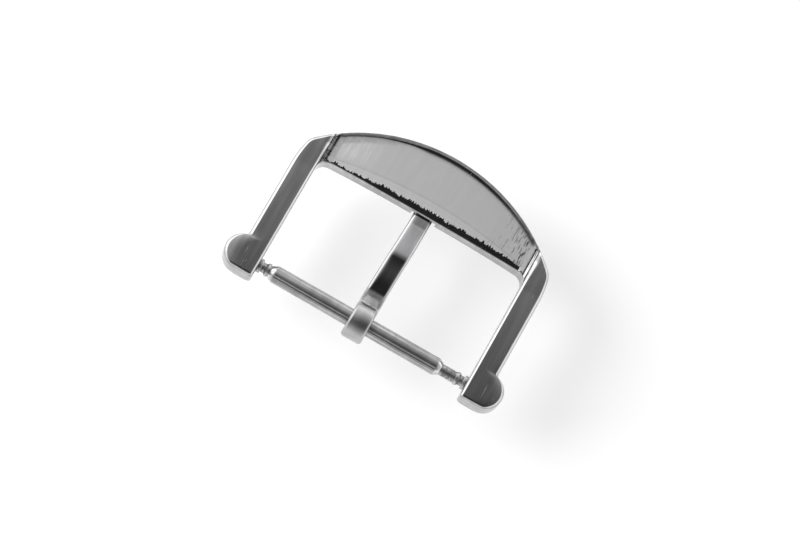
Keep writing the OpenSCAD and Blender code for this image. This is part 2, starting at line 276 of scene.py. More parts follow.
def combine(obj: Piece, others: list[Piece], how: Solid) -> None:
    """Cuts other solids from a piece or joins them to it, and removes the others.

    Args:
        obj: The piece that keeps the result.
        others: The other solids.
        how: Whether they are cut away or joined on.
    """
    for other in others:
        step = obj.modifiers.new("solid", "BOOLEAN")
        step.operation = how.value
        step.solver = "EXACT"
        step.object = other
    view = bpy.context.evaluated_depsgraph_get()
    result = bpy.data.meshes.new_from_object(obj.evaluated_get(view))
    obj.modifiers.clear()
    obj.data = result
    for other in others:
        bpy.data.objects.remove(other)


def write_mark(mesh: bpy.types.Mesh, name: str, values: Array) -> None:
    """Writes one number per vertex as a named mark that materials read."""
    layer = mesh.attributes.new(name, "FLOAT", "POINT")
    layer.data.foreach_set("value", values.ravel().astype(np.float32))


class SubAssembly:
    """Base of the sub-assemblies, each of which builds its pieces and dresses them."""

    # Curvature per metre at which an edge begins to take its edge coat, worn on most pieces and
    # painted shade on the tang, and the range to the full coat
    WEAR_FROM, WEAR_RANGE = 2000, 10000
    # Least squared length that a bend is divided by
    LEAST_SPAN = 1e-14

    @staticmethod
    def set_creases(obj: Piece, degrees: float) -> Piece:
        """Shades a piece smooth and keeps the edges sharper than an angle crisp.

        Args:
            obj: The piece.
            degrees: The angle.

        Returns:
            The piece.
        """
        obj.data.shade_smooth()
        obj.data.set_sharp_from_angle(angle=math.radians(degrees))
        return obj

    def mark_edges(self, mesh: bpy.types.Mesh) -> None:
        """Writes the mark edge: 1 on tight convex edges, 0 on flats and hollows.

        For each mesh edge the curvature is (n2 - n1).(p2 - p1) / |p2 - p1|^2. A vertex
        takes its largest one.

        Args:
            mesh: The mesh to mark.
        """
        a, b = read(mesh.edges, "vertices", 2, np.int32).T
        points, normals = read(mesh.vertices, "co", 3), read(mesh.vertices, "normal", 3)
        span = points[b] - points[a]
        bend = np.einsum("ij,ij->i", normals[b] - normals[a], span)
        bend /= np.maximum((span**2).sum(1), self.LEAST_SPAN)
        most = np.zeros(len(points))
        for ends in (a, b):
            np.maximum.at(most, ends, bend)
        write_mark(mesh, "edge", np.clip((most - self.WEAR_FROM) / self.WEAR_RANGE, 0, 1))

    def dress(self, obj: Piece, finish: SteelFinish) -> None:
        """Marks a piece's edges and gives it its material.

        Args:
            obj: The piece.
            finish: Its finish.
        """
        self.mark_edges(obj.data)
        obj.data.materials.clear()
        obj.data.materials.append(finish.material())


# The buckle's frame


@dataclass(frozen=True)
class ArmSizes:
    """Sizes of the two arms and their lugs."""

    clear_half: float = 10.0
    width: float = 2.02
    half_thick: float = 1.3
    inner_bevel: float = 0.22
    outer_bevel: float = 0.26
    # Fall of the back to its outer edge, the arm's share of it, and where the lug's fades
    roll_off: float = 0.085
    roll_width: float = 1.4
    arm_share: float = 0.15
    lug_until: float = 2.7
    lug_fade: float = 1.7
    bow: float = 0.09
    bow_middle: float = 5.0
    bow_half: float = 6.0
    front_round: float = 0.42
    lug_radius: float = 1.55
    lug_out: float = 1.75
    lug_back: float = 0.08
    neck_radius: float = 0.3
    end_round: float = 0.26
    bore_radius: float = 0.43
    bore_depth: float = 0.84

    @property
    def outside(self) -> float:
        """X of the arm's outer face."""
        return self.clear_half + self.width

    @property
    def lug_x(self) -> float:
        """X of the lug's centre."""
        return self.clear_half + self.lug_out

    @property
    def end_y(self) -> float:
        """Y of the lug's free end."""
        return self.lug_back - self.lug_radius


@dataclass(frozen=True)
class CrossbarSizes:
    """Sizes of the domed crossbar and of the opening's end."""

    opening: float = 10.6
    bow: float = 0.07
    opening_round: float = 0.9
    depth: float = 5.83
    crown_radius: float = 16.4
    corner_radius: float = 1.4
    ease_radius: float = 9.0
    ease_angle: float = 14.0
    floor_z: float = 0.8
    rim_z: float = 1.04
    rim_width: float = 0.1
    dish_radius: float = 1.1
    dish_angle: float = 24.0
    lip_angle: float = 58.0
    facet_angle: float = 15.0
    facet_step: float = 0.03
    ragged: float = 0.21
    bevel: float = 0.13
    fold: float = 1.45
    fold_bow: float = 0.62
    fold_span: float = 7.2
    fold_least: float = 0.6
    crease: float = 0.1
    floor_angle: float = 2.2
    fold_angle: float = 1.6
    inner_wall: float = 1.5
    outer_wall: float = 1.5
    front_round: float = 0.18
    dome: float = 2.7
    edge: float = 0.06
    deepen: float = 3.0
    groove_width: float = 2.3
    groove_angle: float = 12.0
    groove_floor: float = 0.45


@dataclass
class Stations:
    """Cross-sections of the frame, one entry per station along it."""

    inner: Array
    outer: Array
    fall: Array
    inner_foot: Array
    outer_foot: Array
    front: Array
    front_round: Array
    shrink: Array

    @staticmethod
    def join(parts: list[Stations]) -> Stations:
        """Joins runs of stations into one run, in their order."""
        names = Stations.__dataclass_fields__
        return Stations(*(np.concatenate([getattr(p, n) for p in parts]) for n in names))


@dataclass
class BuckleFrame(SubAssembly):
    """Crossbar, arms and lugs in one piece, swept from lug to lug round the opening."""

    arm: ArmSizes = ArmSizes()
    bar: CrossbarSizes = CrossbarSizes()

    # Stations on each stretch from the lug's end to the middle
    END_STEPS, LUG_STEPS, NECK_STEPS, ARM_STEPS = 10, 46, 12, 16
    EASE_STEPS, CORNER_STEPS, SHOULDER_STEPS = 10, 22, 8
    FILLET_STEPS, CROSSBAR_STEPS = 34, 190
    # Points on each stretch of a station's outline
    ROUND_POINTS, FACET_POINTS, FRONT_FLOOR, REAR_FLOOR = 8, 5, 9, 14
    DISH_POINTS, LIP_POINTS, DOME_POINTS, WALL_POINTS = 12, 3, 30, 4
    FOLD_POINTS = 3
    # Distance before the opening's corner at which the sections begin to turn
    TURN = 0.3
    # The facet's ragged line: teeth over a range of x, their power and share, and the sway
    TEETH, TEETH_HALF, TOOTH_POWER, TEETH_SHARE = 270, 10, 2.2, 1.4
    SWAY_RATES, SWAY_START, SWAY_SHARE = (1.9, 0.77), 0.6, 0.6
    CREASE_ANGLE = 34
    CUT_BEYOND = 1
    CUT_DEEP = -4
    BORE_OVERLAP = 0.2
    BORE_STEPS = 64
    # Values along the crossbar: places from the middle, negative on the left, and values
    FACET_BODY = (
        (-9.3, -8.6, -6.0, -4.0, 3.0, 9.14, 9.3), (0.2, 0.24, 0.26, 0.53, 0.55, 0.53, 0.2),
    )
    DISH_SHARE = ((-9.5, -6.0, -3.6, -2.4, 3.5, 6.5, 9.5), (0.2, 0.28, 0.6, 1.0, 1.0, 0.85, 0.75))
    # Painted shade at the facet's ends: places and darkness
    FACET_ENDS = (
        (-9.6, -9.5, -9.2, -8.9, 9.1, 9.16, 9.3, 9.36), (0.0, 0.8, 0.8, 0.0, 0.0, 0.6, 0.6, 0.0),
    )
    # Painted shade in a band along the rim at the left end: its width and its strength, by place
    BAND_WIDTH = ((-9.4, -8.9, -5.5, -3.4), (0.9, 1.0, 0.75, 0.2))
    BAND = ((-9.5, -9.3, -5.5, -3.4), (0.0, 0.34, 0.26, 0.0))
    # Painted shade along the rim at the right end, by place
    SMEAR = ((6.8, 8.0, 9.2, 9.4), (0.0, 0.6, 0.8, 0.0))
    SCUFFS = ((-9.2, -8.9, -7.2, -5.2), (0.0, 1.0, 0.8, 0.0))
    FLECKS = ((5.2, 7.2, 8.8, 9.2), (0.0, 0.45, 1.0, 0.3))
    # Floor point at which the painted shade lines along the fold begin, and their darkness point by
    # point
    FOLD_FROM = 5
    FOLD_LINES = (0.0, 0.09, 0.02, 0.0, 0.06, 0.17, 0.06)
    # Points over which the satin fades up the dish, its distance from the arms, and how
    # steeply it ends there
    SATIN_FADE, SATIN_CLEAR, SATIN_EDGE = 8, 0.42, 20
    # Points of the bevel that carry no painted shade on the back, and at the facet's ends
    CLEAN_BACK, CLEAN_FACET = 4, 2
    # Share of the fall above which the floor carries the painted shade lines, and the least gap to
    # an arm
    LEVEL_FALL, LEAST_GAP = 0.99, 0.001
    # Soft edge of the band of painted shade, width and soft edge of the painted shade along the rim
    # at the right end, start and range of scuffs
    BAND_EDGE, SMEAR_WIDTH, SMEAR_EDGE, SCUFFS_FROM, SCUFFS_RANGE = 0.15, 0.5, 0.3, 0.5, 1.2
    # Floor points before the fold that are scuffed all along, and how strongly
    FRONT_SCUFFED, FRONT_SCUFFS = 10, 0.15
    # Recess ends: distance from the arm's inner face, share of the fall there, and painted shade
    ENDS = {
        Side.RIGHT: (
            (0.0, 0.09, 0.13, 0.27, 0.31, 0.39, 0.44, 0.84),
            (0.0, 0.03, 0.12, 1.00, 1.04, 0.96, 0.86, 1.0),
            (0.9, 0.9, 0.0, 0.0, 1.0, 1.0, 0.0, 0.0),
        ),
        Side.LEFT: (
            (0.0, 0.05, 0.10, 0.23, 0.25, 0.28, 0.48, 0.53, 0.9, 0.97),
            (0.0, 0.03, 0.12, 0.70, 0.72, 0.84, 1.04, 1.02, 0.96, 1.0),
            (1.0, 1.0, 1.0, 1.0, 0.4, 1.0, 1.0, 0.4, 0.25, 0.0),
        ),
    }

    def __post_init__(self) -> None:
        """Works out the centres of the outer contour's arcs."""
        arm, bar = self.arm, self.bar
        self.crown_centre = bar.opening + bar.depth - bar.crown_radius
        self.ease_x = arm.outside - bar.ease_radius
        ease = math.radians(bar.ease_angle)
        self.corner_x = self.ease_x + (bar.ease_radius - bar.corner_radius) * math.cos(ease)
        reach = bar.crown_radius - bar.corner_radius
        self.corner_y = self.crown_centre + math.sqrt(reach**2 - self.corner_x**2)
        self.ease_y = self.corner_y - (bar.ease_radius - bar.corner_radius) * math.sin(ease)
        self.corner_stop = math.atan2(self.corner_y - self.crown_centre, self.corner_x)
        self.neck_x = arm.outside + arm.neck_radius
        apart = arm.lug_radius + arm.neck_radius
        self.neck_y = arm.lug_back + math.sqrt(apart**2 - (self.neck_x - arm.lug_x) ** 2)
        self.neck_start = arm.lug_back + (self.neck_y - arm.lug_back) * arm.lug_radius / apart
        self.straight = arm.clear_half - bar.opening_round
        self.wall_foot = bar.opening - bar.bow - bar.opening_round

    def side_x(self, y: Array) -> Array:
        """X of the outer edge: the lug's circle, the neck's hollow, the arm, its easing.

        Args:
            y: Distances along the arm.

        Returns:
            X at each distance.
        """
        arm, bar = self.arm, self.bar
        lug = arm.lug_x + circle(arm.lug_radius, y - arm.lug_back)
        neck = self.neck_x - circle(arm.neck_radius, self.neck_y - y)
        ease = self.ease_x + circle(bar.ease_radius, y - self.ease_y)
        straight = np.full_like(y, arm.outside)
        until = [y < self.neck_start, y < self.neck_y, y < self.ease_y]
        return np.select(until, [lug, neck, straight], ease)

    def crown_at(self, x: Array) -> Array:
        """Y of the crossbar's outer curve at each x."""
        return self.crown_centre + circle(self.bar.crown_radius, x)

    def wall_at(self, x: Array) -> Array:
        """Y of the crossbar's inner wall: a bow by the square of x, then the corner's arc.

        Args:
            x: Distances from the middle.

        Returns:
            Y at each distance.
        """
        bowed = self.bar.opening - self.bar.bow * (x / self.straight) ** 2
        corner = self.wall_foot + circle(self.bar.opening_round, x - self.straight)
        return np.where(x <= self.straight, bowed, corner)

    def arm_stations(self, inner: Array, outer: Array, shrink: Array | float = 0.0) -> Stations:
        """Stations with the arm's plain section.

        Args:
            inner: Points on the inner face.
            outer: Points on the outer face.
            shrink: How far each section draws in at the lug's free end.

        Returns:
            The stations.
        """
        same = np.ones(len(inner))
        foot = -same * self.arm.half_thick
        rounds = same * self.arm.front_round
        return Stations(inner, outer, same * 0, foot, foot, foot, rounds, same * shrink)

    def lug_stations(self, y: Array, shrink: Array | float = 0.0) -> Stations:
        """Stations of lug and arm at each y, drawn in at the lug's free end."""
        inner_x = self.arm.clear_half + draw_in(self.arm.end_round, y - self.arm.end_y)
        return self.arm_stations(pairs(inner_x, y), pairs(self.side_x(y), y), shrink)

    def bar_stations(self, x: Array, side: Side) -> Stations:
        """Stations of the crossbar, easing from the arm's section to its own.

        The arm's share of a section is a power of its distance from the middle.

        Args:
            x: Distances from the middle.
            side: Side of the buckle, because the recess's two ends differ.

        Returns:
            The stations.
        """
        arm, bar = self.arm, self.bar
        near = np.clip(x / arm.clear_half, 0, 1) ** bar.deepen
        top = bar.rim_z
        depths = [
            top - deep - (arm.half_thick + top - deep) * near
            for deep in (bar.inner_wall, bar.outer_wall, bar.dome)
        ]
        at, fall, _ = self.ENDS[side]
        rounds = arm.front_round + (bar.front_round - arm.front_round) * (1 - near)
        return Stations(
            pairs(x, self.wall_at(x)), pairs(x, self.crown_at(x)),
            np.interp(arm.clear_half - x, at, fall), *depths, rounds, np.zeros(len(x)),
        )

    def half_stations(self, side: Side) -> Stations:
        """Stations of one half, mirrored to the right.

        Args:
            side: Side of the buckle.

        Returns:
            The stations from the lug's end to the middle.
        """
        arm, bar = self.arm, self.bar
        turn = np.radians(np.linspace(0, 90, self.END_STEPS, endpoint=False))
        ends = self.lug_stations(
            arm.end_y + arm.end_round * (1 - np.cos(turn)), arm.end_round * (1 - np.sin(turn))
        )
        lug_from = arm.end_y + arm.end_round
        share = (1 - np.cos(math.pi * np.linspace(0, 1, self.LUG_STEPS))) / 2
        lug = self.lug_stations(lug_from + (self.neck_start - lug_from) * share)
        neck = self.lug_stations(np.linspace(self.neck_start, self.neck_y, self.NECK_STEPS)[1:])
        turn_y = self.wall_foot - self.TURN
        straight = self.lug_stations(np.linspace(self.neck_y, turn_y, self.ARM_STEPS)[1:-1])
        corner = self.corner_points(turn_y)
        rise = np.linspace(turn_y, self.wall_foot, len(corner))
        turning = self.arm_stations(pairs(np.full(len(rise), arm.clear_half), rise), corner)
        angle = np.radians(np.linspace(0, 90, self.FILLET_STEPS))[1:]
        fillet = self.bar_stations(self.straight + bar.opening_round * np.cos(angle), side)
        along = self.straight * (1 - np.linspace(0, 1, self.CROSSBAR_STEPS)[1:])
        middle = self.bar_stations(along, side)
        return Stations.join([ends, lug, neck, straight, turning, fillet, middle])

    def corner_points(self, turn_y: float) -> Array:
        """Outer points of the frame's corner: easing arc, corner arc, then the crown.

        Args:
            turn_y: Y at which the sections begin to turn.

        Returns:
            Points on the three arcs, from the arm to the crossbar.
        """
        bar = self.bar
        turns = (
            math.asin((turn_y - self.ease_y) / bar.ease_radius), math.radians(bar.ease_angle),
            self.corner_stop, math.acos(self.arm.clear_half / bar.crown_radius),
        )
        arcs = (
            (self.ease_x, self.ease_y, bar.ease_radius, self.EASE_STEPS),
            (self.corner_x, self.corner_y, bar.corner_radius, self.CORNER_STEPS),
            (0.0, self.crown_centre, bar.crown_radius, self.SHOULDER_STEPS),
        )
        points = []
        for i, (x, y, radius, count) in enumerate(arcs):
            angle = np.linspace(turns[i], turns[i + 1], count, endpoint=i == len(arcs) - 1)
            points.append(pairs(x + radius * np.cos(angle), y + radius * np.sin(angle)))
        return np.concatenate(points)

    def outlines(self, s: Stations, side: Side) -> Array:
        """Closed outline of every station, as distance from its inner point and height.

        The outline runs over the back from the inner to the outer face, with a rim, the
        recess's leaning walls and its floor, then down the outer wall, across the domed
        front and up the inner wall. Every corner is a round, and the dome is a parabola:
        its height times 1 - u^2, with u from -1 to 1 across.

        Args:
            s: The stations.
            side: Side of the buckle, because the facet differs.

        Returns:
            Array of stations by points by (t, z).
        """
        wide = np.linalg.norm(s.outer - s.inner, axis=-1)
        foot_in, foot_out = s.inner_foot + s.shrink, s.outer_foot + s.shrink
        bulge = (foot_in + foot_out) / 2 - (s.front + s.shrink)
        back = self.back_points(s, wide, side)
        share = np.linspace(0, 1, self.DOME_POINTS)
        edge, count = s.front_round, self.ROUND_POINTS
        dome_z = spread(foot_out, foot_in - foot_out, share)
        dome_z = dome_z - bulge[:, None] * (1 - (2 * share - 1) ** 2)
        out_z, in_z = foot_out + edge, foot_in + edge
        return np.concatenate([
            back,
            line_points(wide, back[:, -1, 1], wide, out_z, self.WALL_POINTS),
            arc_points(wide - edge, out_z, edge, 0, -90, count)[:, :-1],
            pairs(spread(wide - edge, 2 * edge - wide, share), dome_z),
            arc_points(edge, in_z, edge, -90, -180, count)[:, 1:],
            line_points(0 * wide, in_z, 0 * wide, back[:, 0, 1], self.WALL_POINTS + 1),
        ], axis=1)

    def back_points(self, s: Stations, wide: Array, side: Side) -> Array:
        """Back of every station: the arm's plain back, eased into the crossbar's dish.

        The two are mixed by the station's fall. The plain back is bowed along the arm and
        rolls off to its outer edge, both by the square of a distance.

        Args:
            s: The stations.
            wide: Distance from the inner to the outer face at each station.
            side: Side of the buckle.

        Returns:
            Array of stations by points by (t, z), from the inner to the outer face.
        """
        arm, rounds = self.arm, self.ROUND_POINTS
        dish = self.dish_points(s, wide, side)
        same = np.ones(len(wide))
        along = np.clip(s.inner[:, 1], arm.end_y, self.bar.opening)
        top = arm.half_thick - s.shrink - arm.bow * ((along - arm.bow_middle) / arm.bow_half) ** 2
        inner, outer = arm.inner_bevel * same, arm.outer_bevel * same
        lug = smooth_step((arm.lug_until - s.inner[:, 1]) / arm.lug_fade)
        lug = arm.arm_share + (1 - arm.arm_share) * lug
        plain = np.concatenate([
            bevel_points(inner, top, inner, False, rounds),
            line_points(inner, top, wide - outer, top, dish.shape[1] - 2 * rounds),
            bevel_points(wide - outer, top, outer, True, rounds),
        ], axis=1)
        across = s.inner[:, :1] + (s.outer - s.inner)[:, :1] * plain[..., 0] / wide[:, None]
        ahead = np.clip((across - arm.clear_half) / arm.inner_bevel, 0, 1)
        bevel = (1 - (1 - ahead) ** BEVEL_POWER) ** (1 / BEVEL_POWER) - 1
        plain[..., 1] = np.minimum(plain[..., 1], top[:, None] + arm.inner_bevel * bevel)
        near_edge = np.clip(1 - (wide[:, None] - plain[..., 0]) / arm.roll_width, 0, 1)
        on_arm = lug * (s.inner[:, 0] >= arm.clear_half)
        plain[..., 1] -= arm.roll_off * on_arm[:, None] * near_edge**2
        fall = s.fall[:, None, None]
        return plain * (1 - fall) + dish * fall

    def dish_points(self, s: Stations, wide: Array, side: Side) -> Array:
        """Back of the crossbar: bevel and facet along the opening, a dish and a thin rim.

        The facet slopes to the opening and starts on a ragged line. The dish's floor rises
        slightly from the outer round to a faint fold, more from there to the facet, and
        turns up to the rim in a round of constant radius, then a steep lip.

        Args:
            s: The stations.
            wide: Distance from the inner to the outer face at each station.
            side: Side of the buckle.

        Returns:
            Array of stations by points by (t, z).
        """
        bar, same = self.bar, np.ones(len(wide))
        x = s.inner[:, 0]
        edge, bevel, rim_z = bar.edge * same, bar.bevel * same, bar.rim_z * same
        slope, rise, steeper = (
            math.tan(math.radians(a))
            for a in (bar.facet_angle, bar.floor_angle, bar.floor_angle + bar.fold_angle)
        )
        turn = np.radians(np.linspace(0, bar.dish_angle, self.DISH_POINTS))
        radius = bar.dish_radius * np.interp(x * side.value, *self.DISH_SHARE)
        dish_h = radius * (1 - math.cos(turn[-1]))
        rim_t = wide - edge - bar.rim_width
        lip_t = rim_t - (bar.rim_z - bar.floor_z - dish_h) / math.tan(math.radians(bar.lip_angle))
        dish_t = lip_t - radius * math.sin(turn[-1])
        fold_y = bar.opening + bar.fold - bar.fold_bow * (x / bar.fold_span) ** 2
        fold = np.clip(fold_y - s.inner[:, 1], bar.fold_least, None)
        body, facet = self.facet_width(x * side.value)
        body_z = bar.floor_z + (dish_t - fold) * rise + (fold - body) * steeper
        facet_t = spread(bevel, facet - bevel, np.linspace(0, 1, self.FACET_POINTS))
        first, before, behind = facet + bar.facet_step, fold - 2 * bar.crease, fold + 2 * bar.crease
        floor_t = np.concatenate([
            spread(first, before - first, np.linspace(0, 1, self.FRONT_FLOOR)),
            fold[:, None] + bar.crease * np.linspace(-1, 1, self.FOLD_POINTS),
            spread(behind, dish_t - behind, np.linspace(0, 1, self.REAR_FLOOR)),
        ], axis=1)
        floor_z = bar.floor_z + (dish_t[:, None] - floor_t) * rise
        floor_z += np.clip(fold[:, None] - floor_t, 0, None) * (steeper - rise)
        dish = pairs(
            spread(dish_t, radius, np.sin(turn)),
            spread(bar.floor_z * same, radius, 1 - np.cos(turn)),
        )
        bevel_z = body_z - slope * (body - bevel)
        return np.concatenate([
            bevel_points(bevel, bevel_z, bevel, False, self.ROUND_POINTS),
            pairs(facet_t, body_z[:, None] - slope * (body[:, None] - facet_t))[:, 1:],
            pairs(floor_t, floor_z),
            dish[:, 1:],
            line_points(lip_t, bar.floor_z + dish_h, rim_t, rim_z, self.LIP_POINTS),
            pairs(rim_t, rim_z)[:, None, :],
            arc_points(wide - edge, bar.rim_z - edge, edge, 90, 0, self.ROUND_POINTS),
        ], axis=1)

    def facet_width(self, x: Array) -> tuple[Array, Array]:
        """Width of the facet along the opening, ragged like a hand-polished edge.

        The raggedness is a saw of random teeth plus a slow sway, the product of two sines.

        Args:
            x: Distances from the middle, negative on the left.

        Returns:
            The smooth width at each x, narrow on the left, and the width with its teeth.
        """
        rng = np.random.default_rng(7)
        knots = np.linspace(-self.TEETH_HALF, self.TEETH_HALF, self.TEETH)
        saw = np.interp(x, knots, rng.random(len(knots)) ** self.TOOTH_POWER)
        fast, slow = self.SWAY_RATES
        sway = 0.5 + 0.5 * np.sin(fast * x + self.SWAY_START) * np.sin(slow * x)
        body = np.interp(x, *self.FACET_BODY)
        ragged = saw * self.TEETH_SHARE + self.SWAY_SHARE * sway - self.SWAY_SHARE
        return body, body + self.bar.ragged * ragged

    def surface_marks(self, s: Stations, flat: Array, side: Side) -> dict[str, Array]:
        """Where the frame is satin, where shade is painted, and where it is streaked.

        Args:
            s: The stations.
            flat: Their outlines.
            side: Side of the buckle.

        Returns:
            Arrays of stations by points: satin is 1 on the dish's floor and eases to 0 up its
                sides, painted shade darkens the recess's ends, the facet's ends, lines along the
                fold and bands along the rim, scuffs and flecks are light and dark streaks at the
                left and right end of the floor.
        """
        shape, clear = flat.shape[:2], self.arm.clear_half
        first = self.ROUND_POINTS + self.FACET_POINTS - 1
        fold = first + self.FOLD_FROM
        last = first + self.FRONT_FLOOR + self.FOLD_POINTS + self.REAR_FLOOR
        rim = last + self.DISH_POINTS - 1 + self.LIP_POINTS
        x = np.broadcast_to(s.inner[:, :1] * side.value, shape)
        floor, back, under_fold = np.zeros((3, *shape))
        floor[:, first:last] = 1.0
        floor[:, last:last + self.SATIN_FADE] = np.linspace(1, 0, self.SATIN_FADE)
        inside = (clear - s.inner[:, 0] - self.SATIN_CLEAR) * self.SATIN_EDGE
        floor *= np.clip(inside, 0, 1)[:, None]
        back[:, self.CLEAN_BACK:rim] = 1.0
        under_fold[:, first:first + self.FRONT_SCUFFED] = 1.0
        # Painted shade at the recess's ends, then along the fold and at the facet's ends
        at, _, residue = self.ENDS[side]
        corner = np.interp(clear - s.inner[:, 0], at, residue, left=0.0)
        dark = back * (corner * (s.inner[:, 0] < clear - self.LEAST_GAP))[:, None]
        # Painted shade lines along the fold
        lines = np.array(self.FOLD_LINES) * (s.fall > self.LEVEL_FALL)[:, None]
        for start, stop, found in (
            (fold, fold + len(self.FOLD_LINES), lines),
            (self.CLEAN_FACET, first + 1, np.interp(x[:, :1], *self.FACET_ENDS)),
        ):
            dark[:, start:stop] = np.maximum(dark[:, start:stop], found)
        to_rim = flat[:, rim:rim + 1, 0] - flat[..., 0]
        # Painted shade in bands along the rim at the left and the right end
        band = np.clip((np.interp(x, *self.BAND_WIDTH) - to_rim) / self.BAND_EDGE, 0, 1)
        band = back * band * np.interp(x, *self.BAND)
        smear = back * np.clip((self.SMEAR_WIDTH - to_rim) / self.SMEAR_EDGE, 0, 1)
        smear = smear * np.interp(x, *self.SMEAR)
        depth = np.clip((flat[..., 0] - self.SCUFFS_FROM) / self.SCUFFS_RANGE, 0, 1)
        scuffs = np.maximum(depth * np.interp(x, *self.SCUFFS), self.FRONT_SCUFFS * under_fold)
        return {
            "satin": floor,
            "residue": np.maximum(dark, np.maximum(band, smear)),
            "scuffs": floor * scuffs,
            "flecks": floor * np.interp(x, *self.FLECKS),
        }

    def groove_cutter(self) -> Piece:
        """Builds the solid of the tang's groove: a slot whose floor slopes to the front.

        Returns:
            The solid.
        """
        bar = self.bar
        slope = math.tan(math.radians(bar.groove_angle))
        start, stop = bar.opening - self.CUT_BEYOND, bar.opening + bar.depth + self.CUT_BEYOND
        section = np.array([
            [start, bar.groove_floor + slope * self.CUT_BEYOND],
            [stop, bar.groove_floor - slope * (stop - bar.opening)],
            [stop, self.CUT_DEEP], [start, self.CUT_DEEP],
        ])
        return sweep("groove_cutter", np.stack([
            np.concatenate([np.full((4, 1), x), section], -1)
            for x in (-bar.groove_width / 2, bar.groove_width / 2)
        ]))

    def bore_cutter(self, side: Side) -> Piece:
        """Builds the solid of one lug's blind bore.

        Args:
            side: Side of the buckle.

        Returns:
            The solid.
        """
        arm = self.arm
        near, far = arm.clear_half - self.BORE_OVERLAP, arm.clear_half + arm.bore_depth
        profile = np.array([[near, arm.bore_radius], [far, arm.bore_radius]]) * side.flip
        return revolve("bore_cutter", profile, self.BORE_STEPS, loop=False)

    def build(self) -> Piece:
        """Builds the frame's mesh with its blind bores and the tang's groove.

        Returns:
            The frame, one closed mesh.
        """
        rings, marks = [], []
        for side in (Side.RIGHT, Side.LEFT):
            half = self.half_stations(side)
            along = half.outer - half.inner
            along = along / np.linalg.norm(along, axis=-1, keepdims=True)
            flat = self.outlines(half, side)
            xy = half.inner[:, None, :] + along[:, None, :] * flat[..., :1]
            rings.append(np.concatenate([xy * side.flip, flat[..., 1:]], -1))
            marks.append(self.surface_marks(half, flat, side))
        obj = sweep("buckle_frame", np.concatenate([rings[0], rings[1][-2::-1]]))
        for name in marks[0]:
            write_mark(obj.data, name, np.concatenate([marks[0][name], marks[1][name][-2::-1]]))
        combine(obj, [self.groove_cutter(), *(self.bore_cutter(s) for s in Side)], Solid.CUT)
        return self.set_creases(obj, self.CREASE_ANGLE)


# The tang


def bezier(p: Array, rise_p: float, q: Array, rise_q: float, count: int) -> Array:
    """Cubic curve that leaves p at one slope and reaches q at another.

    Its two middle points lie on the end slopes, a third of the way from each end.

    Args:
        p: First point, (y, z).
        rise_p: Slope at the first point, in degrees.
        q: Last point, (y, z).
        rise_q: Slope at the last point, in degrees.
        count: Points on the curve.

    Returns:
        Points of the curve, ends included.
    """
    reach = (q[0] - p[0]) / 3
    p1 = p + reach * np.array([1, math.tan(math.radians(rise_p))])
    q1 = q - reach * np.array([1, math.tan(math.radians(rise_q))])
    s = np.linspace(0, 1, count)[:, None]
    t = 1 - s
    return p * t**3 + 3 * p1 * t * t * s + 3 * q1 * t * s * s + q * s**3


